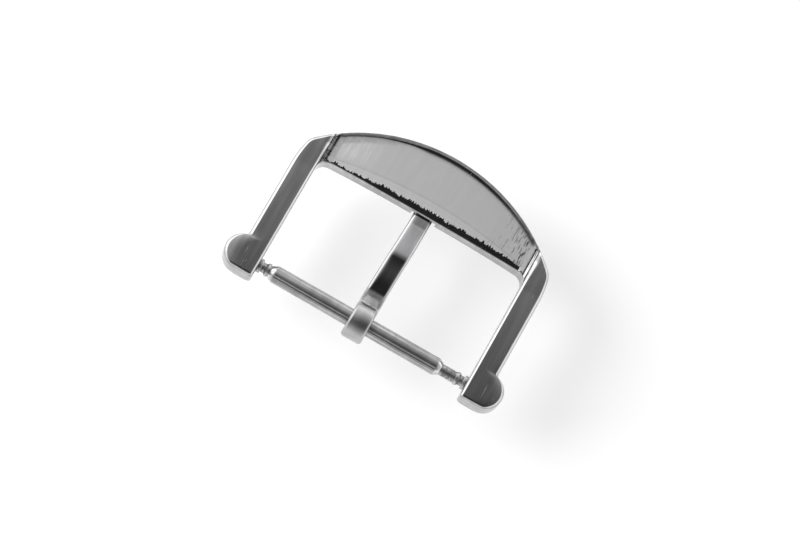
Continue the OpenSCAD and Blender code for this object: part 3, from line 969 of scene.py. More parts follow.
@dataclass(frozen=True)
class Tang(SubAssembly):
    """The tang: an eye rolled round the bar and a blade bent over a hump into the groove."""

    width: float = 1.9
    neck_width: float = 1.78
    tip_width: float = 1.6
    thick: float = 0.84
    overlap: float = 0.01
    hump: float = 0.95
    hump_y: float = 6.6
    hump_half: float = 0.35
    seat: float = 0.42
    reach: float = 4.4
    tip_round: float = 0.62
    edge: float = 0.26
    low_edge: float = 0.1
    eye_edge: float = 0.06
    camber: float = 0.06
    left: float = 0.28
    lean: float = 0.23
    lean_from: float = 1.5
    roll_radius: float = 0.81
    rise_y: float = 1.3
    climb_angle: float = 10.5
    groove_angle: float = 12.0
    seat_angle: float = 2.5
    wall_y: float = 10.6
    # Bends of the blade's back between bar and hump, as (y, z, slope)
    bends: tuple[tuple[float, float, float], ...] = (
        (1.75, -0.55, 42.0), (2.75, 0.26, 33.0), (3.08, 0.42, 17.0),
    )
    flat_until: float = 0.85
    hump_sink: float = 0.03
    # Bend from the hump's fall to the seat: its start and end before the wall, and the
    # length over which it still falls
    bend_from: float = 1.15
    bend_until: float = 0.85
    bend_fall: float = 0.3
    # Bend from the seat into the groove: its end past the wall, and the length that falls
    sink_until: float = 0.3
    sink_fall: float = 0.25

    EYE_STEPS = 160
    CREASE_ANGLE = 34
    # Points on the line: fewest on a stretch, more for each millimetre, and round the tip,
    # which turns by the last number in degrees
    LEAST_POINTS, MORE_POINTS, TIP_STEPS, TIP_TURN = 3, 12, 16, 88
    # Points on the blade's back, its upper and its lower edges, and the eye's two edges
    BACK_POINTS, EDGE_POINTS, LOW_POINTS, EYE_POINTS = 11, 8, 5, (6, 4)
    # Most of the half width that the upper and the lower round take
    EDGE_MOST, LOW_MOST = 0.9, 0.8
    CAMBER_POWER = 4

    def line(self) -> Array:
        """Lays out the blade's back face, from under the bar to the tip.

        Returns:
            Points (y, z).
        """
        fall = math.degrees(math.atan((self.hump - self.seat) / (self.wall_y - self.hump_y)))
        groove, level = (math.tan(math.radians(a)) for a in (self.groove_angle, self.seat_angle))
        top, wall, seat = self.hump - self.hump_sink, self.wall_y, self.seat
        bend_z = seat + self.bend_until * level
        last = wall + self.reach - self.tip_round
        knots = [
            (0.0, -self.roll_radius, 0.0), (self.flat_until, -self.roll_radius, 0.0), *self.bends,
            (self.hump_y - self.hump_half, top, self.climb_angle),
            (self.hump_y + self.hump_half, top, -fall),
            (wall - self.bend_from, bend_z + self.bend_fall * math.tan(math.radians(fall)), -fall),
            (wall - self.bend_until, bend_z, -self.seat_angle), (wall, seat, -self.seat_angle),
            (wall + self.sink_until, seat - self.sink_fall * groove, -self.groove_angle),
            (last, seat - (last - wall) * groove, -self.groove_angle),
        ]
        runs = [np.array([knots[0][:2]])]
        for (y0, z0, rise0), (y1, z1, rise1) in zip(knots, knots[1:]):
            count = self.LEAST_POINTS + int(self.MORE_POINTS * (y1 - y0))
            runs.append(bezier(np.array([y0, z0]), rise0, np.array([y1, z1]), rise1, count)[1:])
        turn_in = np.sin(np.radians(np.linspace(0, self.TIP_TURN, self.TIP_STEPS)))[1:, None]
        runs.append(runs[-1][-1] + turn_in * self.tip_round * np.array([[1, -groove]]))
        return np.concatenate(runs)

    def half_width(self, y: Array) -> Array:
        """Half the blade's width at each y: two tapers, then the rounded tip.

        Args:
            y: Distances from the bar.

        Returns:
            The half widths.
        """
        knots = [self.rise_y, self.wall_y, self.wall_y + self.reach]
        wide = np.interp(y, knots, [self.width / 2, self.neck_width / 2, self.tip_width / 2])
        return wide - draw_in(self.tip_round, self.wall_y + self.reach - y)

    def blade_rings(self) -> Array:
        """Lays out the blade: a rectangle with rounded edges, square to the line.

        The back falls from its middle by the camber times a power of the distance, and the
        blade's middle moves sideways in a smooth step.

        Returns:
            Array of sections by points by (x, y, z).
        """
        line = self.line()
        ahead = np.gradient(line, axis=0)
        ahead[0] = [1, 0]
        ahead = ahead / np.linalg.norm(ahead, axis=-1, keepdims=True)
        up = pairs(-ahead[:, 1], ahead[:, 0])
        y = line[:, 0]
        half = self.half_width(y)
        deep = self.thick - self.overlap - draw_in(self.tip_round, self.wall_y + self.reach - y) / 2
        edge = np.minimum(self.edge, half * self.EDGE_MOST)
        low = np.minimum(self.low_edge, half * self.LOW_MOST)
        section = np.concatenate([
            line_points(edge - half, 0 * half, half - edge, 0 * half, self.BACK_POINTS),
            arc_points(half - edge, -edge, edge, 90, 0, self.EDGE_POINTS),
            arc_points(half - low, low - deep, low, 0, -90, self.LOW_POINTS),
            arc_points(low - half, low - deep, low, -90, -180, self.LOW_POINTS),
            arc_points(edge - half, -edge, edge, 180, 90, self.EDGE_POINTS),
        ], axis=1)
        upper = np.clip(1 + section[..., 1] / deep[:, None], 0, 1)
        away = (section[..., 0] / half[:, None]) ** self.CAMBER_POWER
        section[..., 1] -= self.camber * away * upper
        yz = line[:, None, :] + up[:, None, :] * section[..., 1:]
        middle = smooth_step((y - self.lean_from) / (self.wall_y - self.lean_from))
        middle = self.lean * middle - self.left
        return np.concatenate([section[..., :1] + middle[:, None, None], yz], -1)

    def eye_profile(self) -> Array:
        """Lays out the rolled eye's section, with its edges rounded.

        Returns:
            Closed profile (x, radius).
        """
        half, outer, edge, low, roll = (
            np.array([size]) for size in (
                self.width / 2, self.roll_radius + self.thick, self.edge, self.eye_edge,
                self.roll_radius,
            )
        )
        one_side = np.concatenate([
            arc_points(half - edge, outer - edge, edge, 90, 0, self.EYE_POINTS[0])[0],
            arc_points(half - low, roll + low, low, 0, -90, self.EYE_POINTS[1])[0],
        ])
        return np.concatenate([one_side, one_side[::-1] * Side.LEFT.flip]) - [self.left, 0]

    def build(self) -> Piece:
        """Builds the tang as one closed mesh.

        Returns:
            The tang.
        """
        blade = sweep("tang_blade", self.blade_rings())
        eye = revolve("rolled_tang", self.eye_profile(), self.EYE_STEPS, loop=True)
        combine(eye, [blade], Solid.ADD)
        return self.set_creases(eye, self.CREASE_ANGLE)


# The spring bar


@dataclass(frozen=True)
class SpringBar(SubAssembly):
    """Tube, two plungers and the return spring, all about the bar's axis."""

    tube_radius: float = 0.77
    bore_radius: float = 0.6
    mouth_radius: float = 0.52
    nose: float = 0.48
    nose_radius: float = 0.56
    tube_left: float = -8.91
    tube_right: float = 7.56
    shaft_radius: float = 0.5
    outer_flange: float = 0.63
    inner_flange: float = 0.59
    flange: float = 0.27
    waist_radius: float = 0.44
    waist: float = 0.45
    tip_radius: float = 0.4
    tip: float = 0.66
    tip_bevel: float = 0.15
    tip_shoulder: float = 0.1
    waist_ease: float = 0.12
    small_round: float = 0.02
    corner: float = 0.03
    lug_play: float = 0.02
    shaft: float = 2.3
    head: float = 1.2
    head_radius: float = 0.58
    clear_half: float = 10.0
    coil_end: float = 5.36
    coil_radius: float = 0.44
    coil_split: float = 0.004
    coil_curls: int = 8
    wire_radius: float = 0.1
    travel: float = 0.7

    STEPS = 120
    NOSE_STEPS, NOSE_POWER = 14, 1.5
    # Rings on each curl of the spring, and points round its wire
    CURL_STEPS, WIRE_STEPS = 24, 12
    SOFT_CREASE, CRISP_CREASE = 40, 30

    def build_tube(self) -> Piece:
        """Builds the tube, turned from a closed profile with both noses rolled in.

        A nose's radius rises with the distance u from its end as 1 - (1 - u)^p.

        Returns:
            The tube.
        """
        share = np.linspace(0, 1, self.NOSE_STEPS)
        rise = 1 - (1 - share) ** self.NOSE_POWER
        radius = self.nose_radius + (self.tube_radius - self.nose_radius) * rise
        bore = ((self.mouth_radius, 0), (self.mouth_radius, 1), (self.bore_radius, 1))
        profile = np.concatenate([
            pairs(self.tube_left + self.nose * share, radius),
            pairs(self.tube_right - self.nose * share, radius)[::-1],
            [(self.tube_right - self.nose * deep, r) for r, deep in bore],
            [(self.tube_left + self.nose * deep, r) for r, deep in bore[::-1]],
        ])
        tube = revolve("spring_bar_tube", profile, self.STEPS, loop=True)
        return self.set_creases(tube, self.SOFT_CREASE)

    def plunger_profile(self) -> Array:
        """Lays out a right plunger from its head to its tip.

        Returns:
            Open profile (x, radius).
        """
        outer = self.clear_half - self.lug_play
        flange_b = outer - self.flange
        waist = flange_b - self.waist
        flange_a = waist - self.flange
        head = flange_a - self.shaft
        tip, r, small = outer + self.tip, self.corner, self.small_round
        return np.array([
            [head - self.head, self.head_radius - r], [head - self.head + r, self.head_radius],
            [head - r, self.head_radius], [head, self.head_radius - r],
            [head, self.shaft_radius], [flange_a, self.shaft_radius],
            [flange_a, self.inner_flange - r], [flange_a + r, self.inner_flange],
            [waist - r, self.inner_flange], [waist, self.inner_flange - r],
            [waist + self.waist_ease, self.waist_radius],
            [flange_b - small, self.waist_radius], [flange_b, self.waist_radius + small],
            [flange_b, self.outer_flange - r], [flange_b + r, self.outer_flange],
            [outer - r, self.outer_flange], [outer, self.outer_flange - r],
            [outer, self.tip_radius], [tip - self.tip_bevel, self.tip_radius],
            [tip - self.tip_shoulder, self.tip_radius - small],
            [tip, self.tip_radius - self.tip_bevel],
        ])

    def build_plunger(self, side: Side) -> Piece:
        """Builds one plunger as a closed mesh.

        Args:
            side: Side of the buckle that its tip points to.

        Returns:
            The plunger.
        """
        name = f"{side.name.lower()}_spring_bar_plunger"
        obj = revolve(name, self.plunger_profile() * side.flip, self.STEPS, loop=False)
        return self.set_creases(obj, self.CRISP_CREASE)

    def build_coil(self, side: Side) -> Piece:
        """Builds one half of the return spring as a closed mesh.

        The wire's middle is (x, r cos a, r sin a) with a in proportion to x. Round it, each
        ring lies square to the wire.

        Args:
            side: Side of the buckle that the half lies on.

        Returns:
            The half, from the spring's middle to its end.
        """
        pitch = self.coil_end / self.coil_curls
        lead = math.atan(pitch / (2 * math.pi * self.coil_radius))
        count = self.coil_curls * self.CURL_STEPS + 1
        x = np.linspace(self.coil_split, self.coil_end, count) * side.value
        a = (2 * math.pi * x / pitch)[:, None]
        sin, cos = math.sin(lead), math.cos(lead)
        out = np.stack([0 * a, np.cos(a), np.sin(a)], -1)
        across = np.stack([0 * a + cos, sin * np.sin(a), -sin * np.cos(a)], -1)
        g = np.linspace(0, 2 * math.pi, self.WIRE_STEPS, endpoint=False)[None, :, None]
        middle = np.stack([x, 0 * x, 0 * x], -1)[:, None, :]
        rings = middle + out * (self.coil_radius + self.wire_radius * np.cos(g))
        rings = rings + across * self.wire_radius * np.sin(g)
        obj = sweep(f"{side.name.lower()}_half_of_return_spring", rings)
        return self.set_creases(obj, self.SOFT_CREASE)

    def shorten(self, obj: Piece, side: Side) -> None:
        """Gives a half of the spring its own copy of its mesh.

        Args:
            obj: The half.
            side: Not used.
        """
        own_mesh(obj)


# Finishes


def grey(value: float) -> tuple[float, float, float, float]:
    """Colour of one grey."""
    return (value, value, value, 1.0)


@dataclass(frozen=True)
class Coat:
    """A layer that a mask lays over steel: its strength, its grey and its added roughness."""

    strength: float
    tone: float
    rough: float = 0.0


class Wiring:
    """Adds nodes to one node tree and links them."""

    def __init__(self, tree: bpy.types.NodeTree) -> None:
        """Keeps the node tree to fill."""
        self.tree = tree

    def node(self, kind: str, **settings: object) -> bpy.types.Node:
        """Adds one node and sets its properties.

        Args:
            kind: Type name of the node.
            settings: Values of its properties.

        Returns:
            The new node.
        """
        made = self.tree.nodes.new(kind)
        for name, value in settings.items():
            setattr(made, name, value)
        return made

    def plug(self, socket: Socket, value: object) -> None:
        """Links an input to an output, or gives it a plain value.

        Args:
            socket: The input.
            value: The output or value.
        """
        if isinstance(value, Socket):
            self.tree.links.new(value, socket)
        else:
            socket.default_value = value

    def feed(self, made: bpy.types.Node, **values: object) -> bpy.types.Node:
        """Links inputs of a node to outputs, or gives them plain values.

        Args:
            made: The node.
            values: Value or output for each named input, with _ for a space.

        Returns:
            The node.
        """
        for name, value in values.items():
            self.plug(made.inputs[name.replace("_", " ")], value)
        return made

    def fill(self, made: bpy.types.Node, *values: object) -> bpy.types.Node:
        """Links the first inputs of a node to outputs, or gives them plain values.

        Args:
            made: The node.
            values: Value or output for each input, in their order.

        Returns:
            The node.
        """
        for socket, value in zip(made.inputs, values):
            self.plug(socket, value)
        return made

    def math(self, how: str, a: object, b: object = 0.0) -> Socket:
        """Combines two numbers or outputs by an operation of the Math node."""
        return self.fill(self.node("ShaderNodeMath", operation=how), a, b).outputs[0]

    def times(self, a: object, b: object) -> Socket:
        """Multiplies two numbers or outputs."""
        return self.math("MULTIPLY", a, b)

    def vector(self, how: str, a: object, b: object) -> bpy.types.Node:
        """Combines two vectors by an operation of the Vector Math node."""
        return self.fill(self.node("ShaderNodeVectorMath", operation=how), a, b)

    def between(
        self, value: object, start: object, stop: object, low: float = 0.0, high: float = 1.0
    ) -> Socket:
        """Maps a value smoothly from the range start to stop to the range low to high."""
        made = self.node("ShaderNodeMapRange", interpolation_type="SMOOTHSTEP")
        return self.fill(made, value, start, stop, low, high).outputs[0]

    def near(self, value: Socket, middle: float, half: float, full: float) -> Socket:
        """Masks a value near a middle one: 0 beyond the half distance, 1 within the full one."""
        away = self.math("ABSOLUTE", self.math("SUBTRACT", value, middle))
        return self.between(away, half, full)

    def blend(self, share: object, a: object, b: object) -> Socket:
        """Mixes two colours by the share of the second one."""
        made = self.node("ShaderNodeMixRGB")
        return self.fill(made, share, a, b).outputs[0]

    def coat(
        self, color: object, roughness: object, *layers: tuple[Socket, Coat]
    ) -> tuple[object, object]:
        """Lays coats over a surface: each blends its grey in and adds its roughness.

        Args:
            color: Colour underneath.
            roughness: Roughness underneath.
            layers: Mask and coat of each layer, from the lowest up.

        Returns:
            The coated surface's colour and roughness.
        """
        for mask, coat in layers:
            if coat.strength:
                color = self.blend(self.times(mask, coat.strength), color, grey(coat.tone))
            if coat.rough:
                roughness = self.add_up(roughness, (mask, coat.rough))
        return color, roughness

    def add_up(self, value: object, *parts: tuple[object, float]) -> Socket:
        """Adds masks to a value.

        Args:
            value: Value or output to begin with.
            parts: Each mask and its amount.

        Returns:
            The sum's output.
        """
        for mask, amount in parts:
            value = self.math("ADD", value, self.times(mask, amount))
        return value

    def noise(self, where: Socket, scale: object, detail: float) -> Socket:
        """Adds soft noise at a place, by its scale and detail."""
        made = self.feed(self.node("ShaderNodeTexNoise"), Vector=where, Scale=scale, Detail=detail)
        return made.outputs["Fac"]

    def split(self, vector: Socket) -> tuple[Socket, ...]:
        """Takes a vector apart into its X, Y and Z."""
        return tuple(self.fill(self.node("ShaderNodeSeparateXYZ"), vector).outputs)


class GroupWiring(Wiring):
    """Wiring of a new node group with named inputs and one result."""

    def __init__(self, name: str, vectors: tuple[str, ...], numbers: tuple[str, ...]) -> None:
        """Makes the group with its sockets.

        Args:
            name: Name of the group.
            vectors: Names of the inputs that are vectors.
            numbers: Names of the inputs that are numbers.
        """
        super().__init__(bpy.data.node_groups.new(name, "ShaderNodeTree"))
        sockets = self.tree.interface
        for label in vectors + numbers:
            kind = "NodeSocketVector" if label in vectors else "NodeSocketFloat"
            sockets.new_socket(label, in_out="INPUT", socket_type=kind)
        sockets.new_socket("Result", in_out="OUTPUT", socket_type="NodeSocketFloat")
        self.given = self.node("NodeGroupInput").outputs

    def stretched(self, detail: float) -> Socket:
        """Adds noise at the given vector times the given stretch, by its detail."""
        place = self.vector("MULTIPLY", self.given["Vector"], self.given["Stretch"])
        return self.noise(place.outputs[0], 1.0, detail)

    def close(self, result: Socket) -> bpy.types.NodeTree:
        """Puts out the group's result, and gives the group's tree."""
        self.fill(self.node("NodeGroupOutput"), result)
        return self.tree


class SurfaceEffects:
    """Shader node groups that the finishes share, each built once."""

    # Detail of each noise, and the levels between which it is spread out
    LINE_DETAIL = 2.0
    CLOUD_DETAIL, CLOUD_LEVELS = 3.0, (0.3, 0.7)
    WEAR_DETAIL, WEAR_LEVELS, LEAST_WEAR = 2.0, (0.35, 0.65), 0.3

    def __init__(self) -> None:
        """Builds the groups."""
        self.lines = self.make_lines()
        self.cloud = self.make_cloud()
        self.pits = self.make_pits()
        self.wear = self.make_wear()

    def make_lines(self) -> bpy.types.NodeTree:
        """Builds fine lines or flecks: stretched noise, cut between two levels.

        Returns:
            The group's tree.
        """
        wire = GroupWiring("fine_lines", ("Vector", "Stretch"), ("Low", "High"))
        noise = wire.stretched(self.LINE_DETAIL)
        return wire.close(wire.between(noise, wire.given["Low"], wire.given["High"]))

    def make_cloud(self) -> bpy.types.NodeTree:
        """Builds a cloudy tone: 1 plus or minus an amount, by soft stretched noise.

        Returns:
            The group's tree.
        """
        wire = GroupWiring("cloudy_tone", ("Vector", "Stretch"), ("Amount",))
        sway = wire.between(wire.stretched(self.CLOUD_DETAIL), *self.CLOUD_LEVELS, -1.0, 1.0)
        return wire.close(wire.add_up(1.0, (sway, wire.given["Amount"])))

    def make_pits(self) -> bpy.types.NodeTree:
        """Builds sparse round specks: cells whose centre is near, kept for a share of them.

        Returns:
            The group's tree.
        """
        wire = GroupWiring("tiny_pits", ("Vector",), ("Scale", "Size", "Share"))
        given = wire.given
        cells = wire.feed(
            wire.node("ShaderNodeTexVoronoi"), Vector=given["Vector"], Scale=given["Scale"]
        )
        near = wire.math("LESS_THAN", cells.outputs["Distance"], given["Size"])
        kept = wire.math("LESS_THAN", cells.outputs["Color"], given["Share"])
        return wire.close(wire.times(near, kept))

    def make_wear(self) -> bpy.types.NodeTree:
        """Builds the mask of the edge coat, worn edges on most pieces and painted shade on the
        tang's edges: the mesh's edge mark, broken up by noise.

        Returns:
            The group's tree.
        """
        wire = GroupWiring("edge_wear", ("Vector",), ("Edge", "Scale"))
        noise = wire.noise(wire.given["Vector"], wire.given["Scale"], self.WEAR_DETAIL)
        broken = wire.between(noise, *self.WEAR_LEVELS, self.LEAST_WEAR)
        return wire.close(wire.times(wire.given["Edge"], broken))


@dataclass(frozen=True)
class Lines:
    """Fine lines: their changes per metre along X, Y and Z, and the levels they are cut at."""

    stretch: tuple[float, float, float]
    low: float
    high: float


class SurfaceWiring(Wiring):
    """Wiring of one material, with its object coordinates and the shared effects."""

    def __init__(self, tree: bpy.types.NodeTree, effects: SurfaceEffects) -> None:
        """Adds the object coordinates.

        Args:
            tree: The material's node tree.
            effects: The shared groups.
        """
        super().__init__(tree)
        self.effects = effects
        self.where = self.node("ShaderNodeTexCoord").outputs["Object"]

    def mark(self, name: str) -> Socket:
        """Reads one of the mesh's own surface marks."""
        return self.node("ShaderNodeAttribute", attribute_name=name).outputs["Fac"]

    def use(self, group: bpy.types.NodeTree, **values: object) -> Socket:
        """Places a shared effect, with a value or output for each named input."""
        made = self.node("ShaderNodeGroup", node_tree=group)
        return self.feed(made, Vector=self.where, **values).outputs[0]

    def fine(self, lines: Lines) -> Socket:
        """Masks fine lines or flecks."""
        return self.use(self.effects.lines, Stretch=lines.stretch, Low=lines.low, High=lines.high)


@dataclass(frozen=True)
class SteelFinish:
    """A steel finish: tone, gloss and fine lines."""

    name: str
    effects: SurfaceEffects
    color: tuple[float, float, float, float] = (0.54, 0.54, 0.55, 1.0)
    roughness: float = 0.1
    lines: Lines = Lines((9000.0, 700.0, 9000.0), 0.66, 0.74)
    line_coat: Coat = Coat(0.0, 0.1, 0.25)
    cloud: tuple[float, float, float] = (1300.0, 260.0, 900.0)
    cloud_amount: float = 0.1
    # Coat on convex edges: lighter, worn edges on most finishes; darker on the tang as painted
    # shade
    worn_coat: Coat = Coat(0.8, 0.9, 0.06)
    worn_scale: float = 2500.0
    bump_strength: float = 0.35
    bump_metres: float = 0.000006

    def material(self) -> bpy.types.Material:
        """Makes the node material of this finish.

        Returns:
            The material.
        """
        mat = bpy.data.materials.new(self.name)
        mat.use_nodes = True
        wire = SurfaceWiring(mat.node_tree, self.effects)
        lines = wire.fine(self.lines)
        tone = wire.use(self.effects.cloud, Stretch=self.cloud, Amount=self.tone_amount(wire))
        wear = wire.use(self.effects.wear, Edge=wire.mark("edge"), Scale=self.worn_scale)
        color, roughness, height = self.surface(wire, lines)
        color, roughness = wire.coat(
            color, roughness, (lines, self.line_coat), (wear, self.worn_coat)
        )
        toned = wire.feed(wire.node("ShaderNodeVectorMath", operation="SCALE"), Scale=tone)
        wire.fill(toned, color)
        bump = wire.feed(
            wire.node("ShaderNodeBump"), Strength=self.bump_strength, Distance=self.bump_metres,
            Height=height,
        )
        wire.feed(
            mat.node_tree.nodes["Principled BSDF"], Metallic=1.0, Base_Color=toned.outputs[0],
            Roughness=roughness, Normal=bump.outputs["Normal"],
        )
        return mat

    def surface(self, wire: SurfaceWiring, lines: Socket) -> tuple[object, object, Socket]:
        """Colour, roughness and bump height before lines, edge coat and tone."""
        return self.color, self.roughness, lines

    def tone_amount(self, wire: SurfaceWiring) -> object:
        """How much the cloudy tone sways, a value or an output."""
        return self.cloud_amount


@dataclass(frozen=True)
class FrameFinish(SteelFinish):
    """Polished steel with a satin recess, painted shade in its corners, along its fold and on its
    walls, flecks and a light line on a lug.
    """

    satin: Coat = Coat(1.0, 0.68)
    satin_roughness: float = 0.42
    satin_cloud: float = 0.14
    scuffed: Coat = Coat(0.6, 0.95)
    # Painted shade: darkens the recess's ends, the facet's ends, the fold and the rim's ends
    brushed: Coat = Coat(0.72, 0.2)
    # Dark brush lines on steep walls: brush texture, and painted shade darkening the walls
    residue: Coat = Coat(1.0, 0.04, 0.15)
    # Light line on the right lug
    scratch: Coat = Coat(1.0, 0.9, 0.25)
    speck: Coat = Coat(1.0, 0.1)
    # Least strength of the scuffs and of the painted shade, whatever their lines leave
    scuff_least: float = 0.35
    residue_least: float = 0.7
    # Levels that cut the flecks from noise, and how much their mark lifts it
    fleck_levels: tuple[float, float] = (0.68, 0.72)
    fleck_lift: float = 0.12
    pit_scale: float = 900.0
    pit_size: float = 0.11
    pit_share: float = 0.1
    pit_strength: float = 0.7
    # Height of the normal at which a face starts and ends to be steep, and its roughness
    steep_levels: tuple[float, float] = (0.75, 0.25)
    steep_rough: float = 0.06
    scuff_lines: Lines = Lines((5500.0, 500.0, 500.0), 0.45, 0.62)
    fleck_lines: Lines = Lines((9000.0, 1500.0, 1500.0), 0.0, 1.0)
    # Lines of painted shade on steep walls
    brushed_lines: Lines = Lines((45.0, 45.0, 8500.0), 0.12, 0.62)
    smear_lines: Lines = Lines((1200.0, 5200.0, 1200.0), 0.3, 0.62)
    grain_lines: Lines = Lines((14000.0, 2500.0, 14000.0), 0.3, 0.7)
    # Light line on the right lug: middle and half length along X and Y, the heights of the normal
    # between which it shows, its strength, and the share of it that is full
    scratch_at: tuple[tuple[float, float], ...] = ((0.01164, 0.00005), (-0.0001, 0.0009))
    scratch_levels: tuple[float, float] = (0.9, 0.98)
    scratch_strength: float = 0.7
    scratch_full: float = 0.2

    def tone_amount(self, wire: SurfaceWiring) -> Socket:
        """Lets the tone sway less on the satin floor."""
        least = self.cloud_amount * self.satin_cloud
        return wire.between(wire.mark("satin"), 0.0, 1.0, self.cloud_amount, least)

    def surface(self, wire: SurfaceWiring, lines: Socket) -> tuple[object, object, Socket]:
        """Adds the satin floor, the flecks, the painted shade, the walls' brush lines with painted
        shade and a light line on the right lug.

        Args:
            wire: The material's wiring.
            lines: Mask of the fine lines.

        Returns:
            Colour, roughness and height outputs.
        """
        satin, flecks = wire.mark("satin"), wire.mark("flecks")
        # The scuffs, and the painted shade of corners, fold and rim, each broken up by streaks
        scuffs, residue = (
            wire.times(wire.mark(name), wire.add_up(least, (wire.fine(streaks), 1 - least)))
            for name, least, streaks in (
                ("scuffs", self.scuff_least, self.scuff_lines),
                ("residue", self.residue_least, self.smear_lines),
            )
        )
        fleck = wire.add_up(wire.fine(self.fleck_lines), (flecks, self.fleck_lift))
        fleck = wire.times(wire.between(fleck, *self.fleck_levels), flecks)
        pits = wire.use(
            self.effects.pits, Scale=self.pit_scale, Size=self.pit_size, Share=self.pit_share
        )
        pits = wire.times(wire.times(pits, satin), self.pit_strength)
        up = wire.split(wire.node("ShaderNodeNewGeometry").outputs["Normal"])[2]
        steep = wire.between(wire.math("ABSOLUTE", up), *self.steep_levels)
        # Light line on the right lug, shown on slightly tilted faces
        scratch = wire.between(up, *self.scratch_levels, 0.0, self.scratch_strength)
        for axis, (middle, half) in zip(wire.split(wire.where), self.scratch_at):
            line = wire.near(axis, middle, half, self.scratch_full * half)
            scratch = wire.times(scratch, line)
        color, roughness = wire.coat(
            self.color, wire.between(satin, 0.0, 1.0, self.roughness, self.satin_roughness),
            (satin, self.satin), (scuffs, self.scuffed),
            # Steep walls: brush lines, darkened as painted shade
            (wire.times(wire.fine(self.brushed_lines), steep), self.brushed),
            (residue, self.residue), (scratch, self.scratch),
            (wire.math("MAXIMUM", fleck, pits), self.speck),
        )
        roughness = wire.add_up(roughness, (steep, self.steep_rough))
        return color, roughness, wire.times(wire.fine(self.grain_lines), satin)


@dataclass(frozen=True)
class TubeFinish(SteelFinish):
    """Drawn steel tube with fine lines along it, burnished noses and a painted light and dark
    reflection line on its back.
    """

    nose: Coat = Coat(1.0, 0.66)
    nose_roughness: float = 0.12
    nose_fade: float = 0.0002
    ends: tuple[float, float] = (-0.0084, 0.00705)
    # Places of the painted light and dark reflection lines round the tube, as Y, and half their
    # width
    drawn_y: tuple[float, float] = (-0.00033, -0.00044)
    drawn_half: float = 0.00006
    drawn_dark: Coat = Coat(1.0, 0.16)
    drawn_rough: float = 0.22
    # Height over which the painted reflection lines come in from the tube's side
    drawn_from: float = 0.0002

    def surface(self, wire: SurfaceWiring, lines: Socket) -> tuple[object, object, Socket]:
        """Burnishes the noses, by their distance along X, and paints a light and a dark reflection
        line on the back.

        Args:
            wire: The material's wiring.
            lines: Mask of the fine lines.

        Returns:
            Colour, roughness and height outputs.
        """
        x, y, z = wire.split(wire.where)
        left, right = self.ends
        nose = wire.math(
            "MAXIMUM", wire.between(x, left, left - self.nose_fade),
            wire.between(x, right, right + self.nose_fade),
        )
        plain = wire.math("SUBTRACT", 1.0, nose)
        # Painted reflection lines: a light one, also rougher, and a dark one
        back = wire.times(wire.between(z, 0.0, self.drawn_from), plain)
        light, dark = (
            wire.times(back, wire.near(y, middle, self.drawn_half, self.drawn_half / 2))
            for middle in self.drawn_y
        )
        roughness = wire.between(nose, 0.0, 1.0, self.roughness, self.nose_roughness)
        color, roughness = wire.coat(
            self.color, wire.add_up(roughness, (light, self.drawn_rough)),
            (wire.math("MAXIMUM", nose, light), self.nose), (dark, self.drawn_dark),
        )
        return color, roughness, wire.times(lines, plain)


@dataclass(frozen=True)
class TangFinish(SteelFinish):
    """Polished steel whose rolled eye is left rougher and darker, with a painted highlight where
    the blade leaves the eye.
    """

    eye: Coat = Coat(1.0, 0.46)
    eye_roughness: float = 0.32
    eye_until: tuple[float, float] = (0.0026, 0.0032)
    # Painted highlight where the blade leaves the eye, by its places along Y
    seam_y: tuple[float, float] = (0.0016, 0.0022)
    seam_fade: float = 0.0001
    seam: Coat = Coat(1.0, 0.95, 0.25)

    def surface(self, wire: SurfaceWiring, lines: Socket) -> tuple[object, object, Socket]:
        """Roughens the eye and paints a highlight where the blade leaves it, by their distance from
        the bar along Y.

        Args:
            wire: The material's wiring.
            lines: Mask of the fine lines.

        Returns:
            Colour, roughness and height outputs.
        """
        _, y, _ = wire.split(wire.where)
        eye = wire.between(y, self.eye_until[1], self.eye_until[0])
        # Painted highlight where the blade leaves the eye
        first, last = self.seam_y
        seam = wire.times(
            wire.between(y, last, first), wire.between(y, first - self.seam_fade, first)
        )
        color, roughness = wire.coat(
            self.color, wire.between(eye, 0.0, 1.0, self.roughness, self.eye_roughness),
            (eye, self.eye), (seam, self.seam),
        )
        return color, roughness, wire.times(lines, eye)


# Studio


